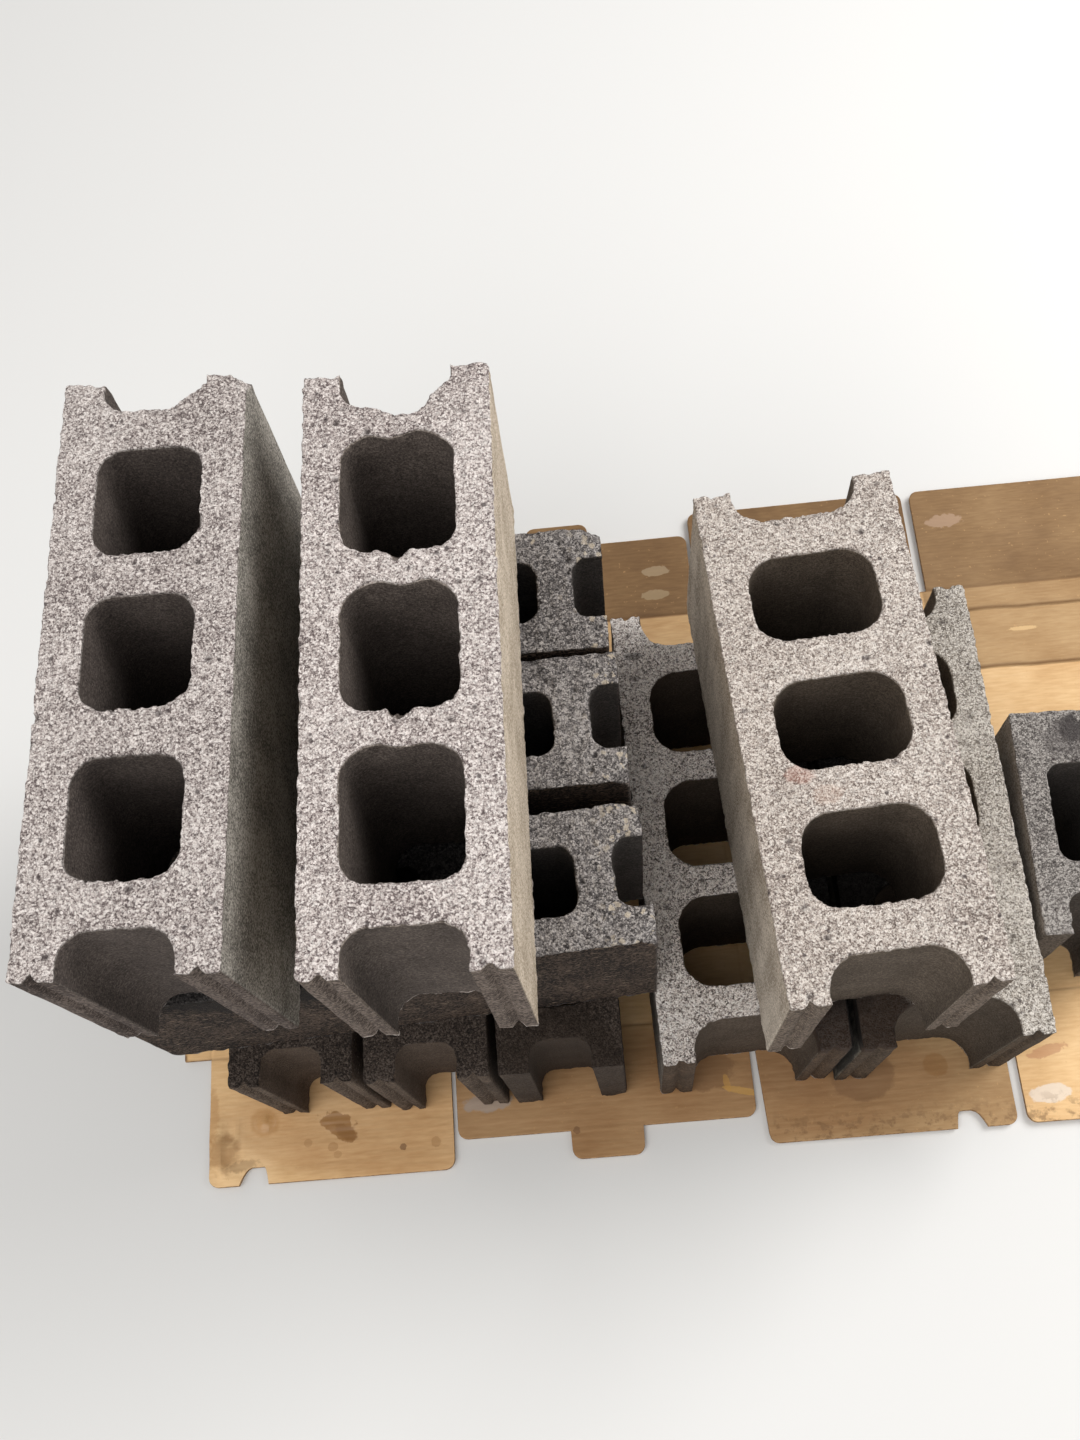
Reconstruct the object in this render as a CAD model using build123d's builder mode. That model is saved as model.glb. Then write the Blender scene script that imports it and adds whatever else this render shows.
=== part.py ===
# Stack of twelve hollow concrete blocks, three tiers high, on a flattened corrugated carton.
# Millimetres. +Z is up, -Y is the front. The origin is on the floor, under the middle of the carton.
from build123d import *
from dataclasses import dataclass
from math import atan, degrees
import os

# All full blocks
BLOCK_LENGTH = 390.0
BLOCK_HEIGHT = 190.0
MORTAR_JOINT = 10.0  # two half blocks and one joint are as long as a full block
CORE_COUNT = 3
CORE_DRAFT = 2.2  # how far each core wall leans back over the height of the block
CORNER_WEAR = 2.0  # bevel worn along the upright outer corners
GROOVE_WIDTH = 8.0  # upright V groove in the middle of each end face
GROOVE_DEPTH = 4.5

# 100 mm block
THIN_WIDTH = 100.0
THIN_SHELL = 25.5  # side walls, webs and recesses are measured where the cores are narrowest
THIN_WEB = 26.0
THIN_RECESS = 24.5
THIN_CORE_RADIUS = 13.0

# 100 mm block with grooved ends
GROOVED_RECESS = 29.0
GROOVED_WEB = 25.0

# 120 mm block
MEDIUM_WIDTH = 120.0
MEDIUM_SHELL = 26.5
MEDIUM_WEB = 27.0
MEDIUM_RECESS = 25.5
MEDIUM_CORE_RADIUS = 17.0

# 150 mm block
WIDE_WIDTH = 150.0
WIDE_SHELL = 28.5
WIDE_WEB = 30.0
WIDE_RECESS = 30.0
WIDE_CORE_RADIUS = 24.0

# Half-length block: one core, one recessed end and one solid end
HALF_END_WALL = 49.0
HALF_WEB = 29.0
HALF_RECESS = 32.0

# Bottom row, from left to right: its left side, the gaps and where each block's middle lies front to back
BOTTOM_ROW_LEFT = -418.5
GAP_LEFT_TO_CENTRE = 7.0
GAP_CENTRE_TO_RIGHT = 4.0
GAP_THIN_TO_WIDE = 26.5
GAP_WIDE_PAIR = 8.5
GAP_WIDE_TO_HALF = 10.0
BOTTOM_LEFT_Y = -67.0
BOTTOM_CENTRE_Y = -72.0
BOTTOM_RIGHT_Y = -73.0
WIDE_LEFT_Y = -75.0
WIDE_RIGHT_Y = -76.0
HALF_Y = -101.0

# Middle tier: three blocks from front to back, and the wide block over the joint of the two wide ones
MIDDLE_ROW_FRONT = -223.0
GAP_FRONT_TO_CENTRE = 21.0
GAP_CENTRE_TO_BACK = 10.0
MIDDLE_FRONT_X = -273.5
MIDDLE_CENTRE_X = -280.5
MIDDLE_BACK_X = -284.5
WIDE_OFF_JOINT = -4.75
MIDDLE_WIDE_Y = -69.0

# Top tier: two blocks across the three of the middle tier
TOP_PAIR_LEFT = -434.5
GAP_TOP_PAIR = 38.0
TOP_LEFT_Y = -56.0
TOP_RIGHT_Y = -68.0

# Chipped corners: how far each one runs along the block, across it and down
CHIP_LENGTH = 16.0
CHIP_ACROSS = 13.0
CHIP_DROP = 14.0

# Carton, opened along its glued seam and laid flat
BOARD_THICKNESS = 4.0
CARTON_HEIGHT = 412.0  # crease to crease
CARTON_FLAP = 115.0
SHORT_FLAP = 90.0
GLUE_TAB = 25.0
PANEL_1 = 226.0
PANEL_2 = 274.0
PANEL_3 = 230.5
PANEL_4 = 277.5
SLOT_WIDTH = 4.0
LAST_SLOT_WIDTH = 9.0
FLAP_TIP_RADIUS = 9.0
TONGUE_WIDTH = 65.0  # middle of the short flap, which reaches as far as the others
NOTCH_WIDTH = 26.0
NOTCH_DEPTH = 13.0
NOTCH_RADIUS = 5.0
FIRST_NOTCH = 41.0  # from the left side of the first flap to the middle of its notch
THIRD_NOTCH = 184.0  # from the left side of the third flap to the middle of its notch
CREASE_WIDTH = 3.0
CREASE_DEPTH = 0.8
REFOLD_NEAR = 27.0  # extra folds of the last panel, measured from its rear crease
REFOLD_FAR = 91.0

BLANK_WIDTH = GLUE_TAB + PANEL_1 + PANEL_2 + PANEL_3 + PANEL_4
BLANK_LEFT = -BLANK_WIDTH / 2
DRAFT_ANGLE = degrees(atan(CORE_DRAFT / BLOCK_HEIGHT))
FRONT_TO_BACK = 90.0  # heading of a block that lies front to back


@dataclass
class Section:
    """Plan of one kind of block, measured on the face where its cores are narrowest."""

    width: float
    shell: float
    web: float
    recess: float
    core_radius: float
    grooved: bool = False
    length: float = BLOCK_LENGTH
    cores: int = CORE_COUNT
    end_wall: float = 0.0  # thickness of the far end where it has no recess

    @property
    def core_width(self) -> float:
        """Size of the cores and end recesses across the block."""
        return self.width - 2 * self.shell

    @property
    def pockets(self) -> list:
        """Middle and length of each core, then of each end recess, which reaches as far outside."""
        far_end = self.end_wall or self.web + self.recess
        run = self.length - self.recess - self.web - far_end
        core = (run - (self.cores - 1) * self.web) / self.cores
        first = -self.length / 2 + self.recess + self.web + core / 2
        cores = [(first + n * (core + self.web), core) for n in range(self.cores)]
        ends = (-1,) if self.end_wall else (-1, 1)
        return cores + [(end * self.length / 2, 2 * self.recess) for end in ends]


@dataclass
class Seat:
    """Place of one block: the middle of its lower face, its heading and which way up it was laid."""

    x: float
    y: float
    tier: int
    heading: float
    narrow_up: bool

    @property
    def bottom(self) -> Plane:
        """Lower face, X along the block."""
        z = BOARD_THICKNESS + self.tier * BLOCK_HEIGHT
        return Plane(Location((self.x, self.y, z), (0, 0, self.heading)))

    @property
    def mould(self) -> Plane:
        """Face where the cores are narrowest, facing into the block."""
        if not self.narrow_up:
            return self.bottom
        top = self.bottom.offset(BLOCK_HEIGHT)
        return Plane(origin=top.origin, x_dir=top.x_dir, z_dir=-top.z_dir)


def chip_plane(seat: Seat, section: Section, end: int, side: int) -> Plane:
    """Plane of a chipped top corner: end is 1 or -1 along the block, side is 1 or -1 across it."""
    corner = Vector(end * section.length / 2, side * section.width / 2, BLOCK_HEIGHT)
    along = corner - Vector(end * CHIP_LENGTH, 0, 0)
    across = corner - Vector(0, side * CHIP_ACROSS, 0)
    down = corner - Vector(0, 0, CHIP_DROP)
    normal = Vector(end / CHIP_LENGTH, side / CHIP_ACROSS, 1 / CHIP_DROP)
    middle = (along + across + down) * (1 / 3)
    to_world = seat.bottom.from_local_coords
    return Plane(origin=to_world(middle), z_dir=to_world(middle + normal) - to_world(middle))


def cast_block(section: Section, seat: Seat, chips: tuple = ()) -> Part:
    """Hollow block: an upright box with tapered cores, end recesses and grooves.

    chips lists the (end, side) of each top corner that is broken off.
    """
    leg = (section.width + section.core_width) / 4  # from the middle line to the middle of a leg
    growth = 2 * CORE_DRAFT
    with BuildPart() as block:
        with BuildSketch(seat.bottom):
            Rectangle(section.length, section.width)
        extrude(amount=BLOCK_HEIGHT)
        chamfer(block.edges().filter_by(Axis.Z), CORNER_WEAR)
        for middle, length in section.pockets:
            with BuildSketch(seat.mould):
                with Locations((middle, 0)):
                    RectangleRounded(length, section.core_width, section.core_radius)
            with BuildSketch(seat.mould.offset(BLOCK_HEIGHT)):
                with Locations((middle, 0)):
                    RectangleRounded(length + growth, section.core_width + growth, section.core_radius)
            loft(ruled=True, mode=Mode.SUBTRACT)
        if section.grooved:
            with BuildSketch(seat.bottom):
                with GridLocations(section.length, 2 * leg, 2, 2):
                    Polygon((GROOVE_DEPTH, 0), (0, GROOVE_WIDTH / 2), (-GROOVE_DEPTH, 0), (0, -GROOVE_WIDTH / 2))
            extrude(amount=BLOCK_HEIGHT, mode=Mode.SUBTRACT)
        for end, side in chips:
            split(bisect_by=chip_plane(seat, section, end, side), keep=Keep.BOTTOM)
    return block.part


def carton_blank() -> Part:
    """Flattened carton: four panels and a glue tab, with a row of flaps in front and one behind."""
    crease = -CARTON_HEIGHT / 2
    fold_1 = BLANK_LEFT + GLUE_TAB + PANEL_1
    fold_2 = fold_1 + PANEL_2
    fold_3 = fold_2 + PANEL_3
    flap_1 = (BLANK_LEFT + GLUE_TAB, fold_1 - SLOT_WIDTH / 2)
    flap_2 = (fold_1 + SLOT_WIDTH / 2, fold_2 - SLOT_WIDTH / 2)
    flap_3 = (fold_2 + SLOT_WIDTH / 2, fold_3 - LAST_SLOT_WIDTH / 2)
    flap_4 = (fold_3 + LAST_SLOT_WIDTH / 2, -BLANK_LEFT)
    hang = (Align.CENTER, Align.MAX)
    with BuildPart() as carton:
        with BuildSketch() as blank:
            for left, right in (flap_1, flap_3, flap_4):
                with Locations(((left + right) / 2, crease)):
                    Rectangle(right - left, CARTON_FLAP, align=hang)
            with Locations((sum(flap_2) / 2, crease)):
                Rectangle(flap_2[1] - flap_2[0], SHORT_FLAP, align=hang)
                Rectangle(TONGUE_WIDTH, CARTON_FLAP, align=hang)
            fillet(blank.vertices().group_by(Axis.Y)[0], FLAP_TIP_RADIUS)
            notches = (flap_1[0] + FIRST_NOTCH, flap_3[0] + THIRD_NOTCH)
            with Locations(*[(x, crease - CARTON_FLAP) for x in notches]):
                RectangleRounded(NOTCH_WIDTH, 2 * NOTCH_DEPTH, NOTCH_RADIUS, mode=Mode.SUBTRACT)
            mirror(about=Plane.XZ)
            Rectangle(BLANK_WIDTH, CARTON_HEIGHT)
        extrude(amount=BOARD_THICKNESS)
        with BuildSketch(Plane.XY.offset(BOARD_THICKNESS)):
            with GridLocations(0, CARTON_HEIGHT, 1, 2):
                Rectangle(BLANK_WIDTH, CREASE_WIDTH)
            with Locations(*[(x, 0) for x in (flap_1[0], fold_1, fold_2, fold_3)]):
                Rectangle(CREASE_WIDTH, CARTON_HEIGHT)
            for distance in (REFOLD_NEAR, REFOLD_FAR):
                with Locations((fold_3, CARTON_HEIGHT / 2 - distance)):
                    Rectangle(PANEL_4, CREASE_WIDTH, align=(Align.MIN, Align.CENTER))
        extrude(amount=-CREASE_DEPTH, mode=Mode.SUBTRACT)
    return carton.part


def write(piece: Part, name: str) -> None:
    """Labels a finished piece and writes it to the parts folder."""
    piece.label = name
    export_step(piece, f"parts/{name}.step")


thin = Section(THIN_WIDTH, THIN_SHELL, THIN_WEB, THIN_RECESS, THIN_CORE_RADIUS)
grooved_thin = Section(
    THIN_WIDTH, THIN_SHELL, GROOVED_WEB, GROOVED_RECESS, THIN_CORE_RADIUS, grooved=True
)
medium = Section(
    MEDIUM_WIDTH, MEDIUM_SHELL, MEDIUM_WEB, MEDIUM_RECESS, MEDIUM_CORE_RADIUS, grooved=True
)
wide = Section(WIDE_WIDTH, WIDE_SHELL, WIDE_WEB, WIDE_RECESS, WIDE_CORE_RADIUS, grooved=True)
half_thin = Section(
    THIN_WIDTH,
    THIN_SHELL,
    HALF_WEB,
    HALF_RECESS,
    THIN_CORE_RADIUS,
    length=(BLOCK_LENGTH - MORTAR_JOINT) / 2,
    cores=1,
    end_wall=HALF_END_WALL,
)

# Middles of the blocks, each from its neighbour's side and the gap between them
left_x = BOTTOM_ROW_LEFT + THIN_WIDTH / 2
centre_x = left_x + THIN_WIDTH + GAP_LEFT_TO_CENTRE
right_x = centre_x + THIN_WIDTH + GAP_CENTRE_TO_RIGHT
wide_left_x = right_x + THIN_WIDTH / 2 + GAP_THIN_TO_WIDE + WIDE_WIDTH / 2
wide_right_x = wide_left_x + WIDE_WIDTH + GAP_WIDE_PAIR
half_x = wide_right_x + WIDE_WIDTH / 2 + GAP_WIDE_TO_HALF + THIN_WIDTH / 2
front_y = MIDDLE_ROW_FRONT + THIN_WIDTH / 2
centre_y = front_y + THIN_WIDTH + GAP_FRONT_TO_CENTRE
back_y = centre_y + THIN_WIDTH + GAP_CENTRE_TO_BACK
straddle_x = (wide_left_x + wide_right_x) / 2 + WIDE_OFF_JOINT
top_left_x = TOP_PAIR_LEFT + MEDIUM_WIDTH / 2
top_right_x = top_left_x + MEDIUM_WIDTH + GAP_TOP_PAIR

blocks = {
    "bottom_block_left": (grooved_thin, Seat(left_x, BOTTOM_LEFT_Y, 0, FRONT_TO_BACK - 1.36, True)),
    "bottom_block_centre": (grooved_thin, Seat(centre_x, BOTTOM_CENTRE_Y, 0, FRONT_TO_BACK - 0.9, True)),
    "bottom_block_right": (thin, Seat(right_x, BOTTOM_RIGHT_Y, 0, FRONT_TO_BACK, True)),
    "bottom_wide_block_left": (wide, Seat(wide_left_x, WIDE_LEFT_Y, 0, FRONT_TO_BACK + 1.0, False)),
    "bottom_wide_block_right": (wide, Seat(wide_right_x, WIDE_RIGHT_Y, 0, FRONT_TO_BACK + 0.3, False)),
    "middle_block_front": (thin, Seat(MIDDLE_FRONT_X, front_y, 1, 2.79, True)),
    "middle_block_centre": (thin, Seat(MIDDLE_CENTRE_X, centre_y, 1, 1.2, True)),
    "middle_block_back": (thin, Seat(MIDDLE_BACK_X, back_y, 1, -0.7, True)),
    "middle_wide_block": (wide, Seat(straddle_x, MIDDLE_WIDE_Y, 1, FRONT_TO_BACK + 3.04, True)),
    "top_block_left": (medium, Seat(top_left_x, TOP_LEFT_Y, 2, FRONT_TO_BACK - 1.85, True)),
    "top_block_right": (medium, Seat(top_right_x, TOP_RIGHT_Y, 2, FRONT_TO_BACK - 1.23, False)),
    "bottom_half_block": (half_thin, Seat(half_x, HALF_Y, 0, FRONT_TO_BACK - 2.19, False)),
}
chipped = {
    "middle_block_front": ((1, -1), (1, 1)),
    "middle_block_centre": ((1, -1),),
    "middle_block_back": ((1, 1),),
    "top_block_left": ((1, -1),),
}

os.makedirs("parts", exist_ok=True)
for name, (section, seat) in blocks.items():
    write(cast_block(section, seat, chipped.get(name, ())), name)
write(carton_blank(), "flattened_carton")
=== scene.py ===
"""Dresses the stack of twelve hollow concrete blocks that stands on a flattened carton.

Every block is cast again as one closed surface: a grid of points that follows its cores, end
recesses and grooves, with ragged arrises, pits and chipped corners worked out as whole arrays.
The carton is one creased and slightly warped sheet with thickness. Sizes are in millimetres in
the dataclasses and become metres when a mesh is made.
"""

from __future__ import annotations

import logging
import math
from collections.abc import Callable
from dataclasses import dataclass
from enum import Enum
from functools import partial

import bpy
import numpy as np
from mathutils import Matrix, Vector

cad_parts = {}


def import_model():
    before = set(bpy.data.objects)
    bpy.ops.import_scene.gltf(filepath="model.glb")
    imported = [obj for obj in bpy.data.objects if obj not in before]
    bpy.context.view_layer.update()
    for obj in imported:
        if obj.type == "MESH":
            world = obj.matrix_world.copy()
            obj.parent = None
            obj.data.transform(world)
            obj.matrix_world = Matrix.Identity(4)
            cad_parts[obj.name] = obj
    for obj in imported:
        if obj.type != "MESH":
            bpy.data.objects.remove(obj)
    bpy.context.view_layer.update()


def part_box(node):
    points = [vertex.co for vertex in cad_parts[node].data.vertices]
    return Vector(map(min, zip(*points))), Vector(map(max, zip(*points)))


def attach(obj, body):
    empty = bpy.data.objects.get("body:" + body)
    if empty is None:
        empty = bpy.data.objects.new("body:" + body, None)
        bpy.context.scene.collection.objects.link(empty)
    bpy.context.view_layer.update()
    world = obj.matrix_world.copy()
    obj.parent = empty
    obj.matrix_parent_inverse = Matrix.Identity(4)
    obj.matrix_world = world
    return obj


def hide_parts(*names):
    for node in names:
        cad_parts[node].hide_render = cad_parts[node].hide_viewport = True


LOG = logging.getLogger("stack")
MM = 0.001
BODY = "root"

# Sizes that the blocks share, in millimetres.
BLOCK_LENGTH = 390.0
BLOCK_HEIGHT = 190.0
BOARD_THICKNESS = 4.0
CORE_DRAFT = 2.2
GROOVE_WIDTH = 8.0
GROOVE_DEPTH = 4.5
CORNER_WEAR = 2.6
LIP_DEPTH = 4.0
GROOVE_RUN = 12.0

# Rows of points: depths of the first ones under the upper bed, and how much the others crowd.
TOP_ROWS = (0.0, 0.7, 1.5, 2.5, 3.8, 5.6, 8.0)
FACE_CROWD = 1.15
WALL_CROWD = 1.6
HIDDEN_ROWS = 4
HIDDEN_CROWD = 2.2

# Wear and grain: sizes of the lumps that the noises have, and depths, in millimetres.
TOOTH_SIZE = 3.8
FLAKE_SIZE = 9.0
SWELL_SIZE = 16.0
GRAIN_SIZE = 4.4
PIT_SIZE = 8.5
PIT_DEPTH = 1.8
BREAK_GRAIN = 6.0
SLOPE_SIZE = 45.0
SLOPE_DEPTH = 0.35
SKIN_DEPTH = 0.25

# Patterns: a texture's unit, its bands' spacing at scale 1 in metres, and places of colours.
METRE = 1000.0
BAND_SPACING = 0.314
BED_STOPS = (0.35, 0.44, 0.56, 0.70)
LINER_STOPS = (0.36, 0.50, 0.64)

# The board: closer and closer columns and rows, and how deep a mark reaches.
TIP_STEPS = np.array([0.0, 0.4, 1.2, 2.4, 4.0, 6.0, 8.5, 11.5])
CREASE_STEPS = np.array([0.0, 1.1, 2.2, 4.5])
FLAP_SHARES = np.array([0.0, 0.01, 0.02, 0.04, *np.linspace(0.07, 0.96, 18), 0.985, 1.0])
MARK_REACH = 12.0


def hashed(cells: np.ndarray, seed: int) -> np.ndarray:
    """Repeatable random numbers from whole-numbered cells.

    The three indices are multiplied by large primes, joined by exclusive or and stirred twice.

    Args:
        cells: whole numbers, shape (..., 3).
        seed: picks another set of numbers.

    Returns:
        Numbers from 0 to 1, shape (...).
    """
    whole = cells.astype(np.int64).astype(np.uint32)
    mixed = whole[..., 0] * np.uint32(73856093)
    mixed = mixed ^ (whole[..., 1] * np.uint32(19349663))
    mixed = mixed ^ (whole[..., 2] * np.uint32(83492791))
    mixed = mixed ^ np.uint32((seed * 2654435761) % 4294967296)
    mixed = (mixed ^ (mixed >> np.uint32(15))) * np.uint32(2246822519)
    mixed = (mixed ^ (mixed >> np.uint32(13))) * np.uint32(3266489917)
    mixed = mixed ^ (mixed >> np.uint32(16))
    return mixed.astype(np.float64) / 4294967295.0


def lattice_noise(points: np.ndarray, size: float, seed: int) -> np.ndarray:
    """Smooth noise: random values at the corners of a lattice, blended by 3t^2 - 2t^3.

    Args:
        points: places in millimetres, shape (n, 3).
        size: side of a lattice cell in millimetres.
        seed: picks another pattern.

    Returns:
        Values from -1 to 1, shape (n,).
    """
    scaled = points / size
    base = np.floor(scaled)
    part = scaled - base
    blend = part * part * (3.0 - 2.0 * part)
    total = np.zeros(len(points))
    for corner in np.ndindex(2, 2, 2):
        offset = np.array(corner)
        weight = np.prod(np.where(offset == 1, blend, 1.0 - blend), axis=1)
        total += weight * hashed(base + offset, seed)
    return 2.0 * total - 1.0


def layered_noise(points: np.ndarray, size: float, seed: int, layers: int = 3) -> np.ndarray:
    """Sum of lattice noises, each half as coarse and half as strong as the one before.

    Args:
        points: places in millimetres, shape (n, 3).
        size: size of the coarsest lumps.
        seed: picks another pattern.
        layers: how many noises are added.

    Returns:
        Values from about -1 to 1, shape (n,).
    """
    total = np.zeros(len(points))
    for layer in range(layers):
        total += lattice_noise(points, size / 2.0**layer, seed + 17 * layer) * 0.5**layer
    return total / (2.0 - 0.5 ** (layers - 1))


def grain_noise(points: np.ndarray, size: float, seed: int) -> tuple[np.ndarray, np.ndarray]:
    """Cellular noise: one random point in every cell, and each place belongs to the nearest.

    Args:
        points: places in millimetres, shape (n, 3).
        size: spacing of the grains in millimetres.
        seed: picks another pattern.

    Returns:
        Distance to the nearest grain's middle as a share of size, and that grain's own number
        from 0 to 1.
    """
    scaled = points / size
    base = np.floor(scaled)
    nearest = np.full(len(points), 9.0)
    number = np.zeros(len(points))
    for corner in np.ndindex(3, 3, 3):
        cell = base + np.array(corner) - 1.0
        seeds = [hashed(cell, seed + axis) for axis in range(3)]
        middle = cell + np.stack(seeds, axis=1)
        distance = np.linalg.norm(scaled - middle, axis=1)
        closer = distance < nearest
        nearest = np.where(closer, distance, nearest)
        number = np.where(closer, hashed(cell, seed + 5), number)
    return nearest, number


def eased(values: np.ndarray, low: float, high: float) -> np.ndarray:
    """Rises smoothly from 0 at low to 1 at high.

    Args:
        values: numbers of any shape.
        low: where the rise starts.
        high: where it ends; below low for a fall.

    Returns:
        Numbers from 0 to 1 of the same shape.
    """
    part = np.clip((values - low) / (high - low), 0.0, 1.0)
    return part * part * (3.0 - 2.0 * part)


def arc_share(first: np.ndarray, second: np.ndarray) -> np.ndarray:
    """Factor that brings a place in a square corner to the arc: max(u, v) / sqrt(u^2 + v^2).

    Args:
        first: how far each place lies into the corner one way, u.
        second: how far it lies into it the other way, v.

    Returns:
        The factor, 1 where a place isn't in the corner both ways.
    """
    length = np.maximum(np.hypot(first, second), 1e-9)
    return np.where((first > 0.0) & (second > 0.0), np.maximum(first, second) / length, 1.0)


Outline = Callable[[float], np.ndarray]


def held(path: np.ndarray) -> Outline:
    """Outline that is the same at every height."""
    return lambda _: path


class Surface:
    """Points and four-sided faces of one closed surface, collected grid by grid."""

    def __init__(self) -> None:
        """Starts with no points."""
        self.points: list[np.ndarray] = []
        self.faces: list[np.ndarray] = []
        self.count = 0

    def add_grid(self, points: np.ndarray) -> None:
        """Adds a grid whose faces point along (step in rows) x (step in columns).

        Args:
            points: places, shape (rows, columns, 3).
        """
        rows, columns = points.shape[:2]
        index = np.arange(rows * columns).reshape(rows, columns) + self.count
        face = np.stack([index[:-1, :-1], index[1:, :-1], index[1:, 1:], index[:-1, 1:]], axis=-1)
        self.points.append(points.reshape(-1, 3))
        self.faces.append(face.reshape(-1, 4))
        self.count += rows * columns

    def merged(self) -> tuple[np.ndarray, np.ndarray]:
        """Joins points that lie within a hundredth of a millimetre of each other.

        Returns:
            Points, shape (n, 3), and faces, shape (m, 4).
        """
        every = np.concatenate(self.points)
        keys = np.round(every * 100.0).astype(np.int64)
        _, first, back = np.unique(keys, axis=0, return_index=True, return_inverse=True)
        return every[first], back.reshape(-1)[np.concatenate(self.faces)]


def vertex_normals(points: np.ndarray, faces: np.ndarray) -> np.ndarray:
    """Unit normal at every point: the sum of its faces' normals by area.

    A face's normal is half the cross product of its diagonals.

    Args:
        points: places, shape (n, 3).
        faces: four indices each, shape (m, 4).

    Returns:
        Unit vectors, shape (n, 3).
    """
    corner = points[faces]
    flat = np.cross(corner[:, 2] - corner[:, 0], corner[:, 3] - corner[:, 1])
    total = np.zeros_like(points)
    for side in range(4):
        for axis in range(3):
            total[:, axis] += np.bincount(faces[:, side], flat[:, axis], len(points))
    size = np.linalg.norm(total, axis=1, keepdims=True)
    return total / np.maximum(size, 1e-12)


def make_piece(
    name: str,
    points: np.ndarray,
    faces: np.ndarray,
    fields: dict[str, np.ndarray],
) -> bpy.types.Object:
    """Puts arrays into a new mesh object at the origin.

    Args:
        name: name of the piece.
        points: places in metres, shape (n, 3).
        faces: four indices each, shape (m, 4).
        fields: named numbers, one for each point.

    Returns:
        The object, shaded smooth.
    """
    mesh = bpy.data.meshes.new(name)
    mesh.vertices.add(len(points))
    mesh.vertices.foreach_set("co", points.astype(np.float32).ravel())
    mesh.loops.add(faces.size)
    mesh.loops.foreach_set("vertex_index", faces.astype(np.int32).ravel())
    mesh.polygons.add(len(faces))
    starts = np.arange(0, faces.size, 4, dtype=np.int32)
    mesh.polygons.foreach_set("loop_start", starts)
    mesh.polygons.foreach_set("use_smooth", np.ones(len(faces), dtype=bool))
    for label, values in fields.items():
        attribute = mesh.attributes.new(label, "FLOAT", "POINT")
        attribute.data.foreach_set("value", values.astype(np.float32))
    mesh.update(calc_edges=True)
    mesh.validate()
    piece = bpy.data.objects.new(name, mesh)
    bpy.context.scene.collection.objects.link(piece)
    return piece


Colour = tuple[float, float, float, float]
Socket = bpy.types.NodeSocket


def tone(red: float, green: float, blue: float) -> Colour:
    """Turns a screen colour of 0 to 255 into the linear colour that shaders use.

    Args:
        red: red part.
        green: green part.
        blue: blue part.

    Returns:
        Linear red, green, blue and 1.
    """
    parts = np.array([red, green, blue]) / 255.0
    linear = np.where(parts <= 0.04045, parts / 12.92, ((parts + 0.055) / 1.055) ** 2.4)
    return (*linear.tolist(), 1.0)


def tones(*colours: tuple[float, float, float]) -> tuple[Colour, ...]:
    """Turns several screen colours into linear ones."""
    return tuple(tone(*colour) for colour in colours)


@dataclass(frozen=True)
class StainOrShade:
    """Spot of another colour, for a mark or for painted shade: middle, half sizes, colour, strength, turn
    and kind of edge.
    """

    middle: tuple[float, float, float]
    reach: tuple[float, float, float]
    colour: Colour
    strength: float = 0.5
    turn: float = 0.0
    softness: float = 0.22
    uneven: float = 0.9


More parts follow.
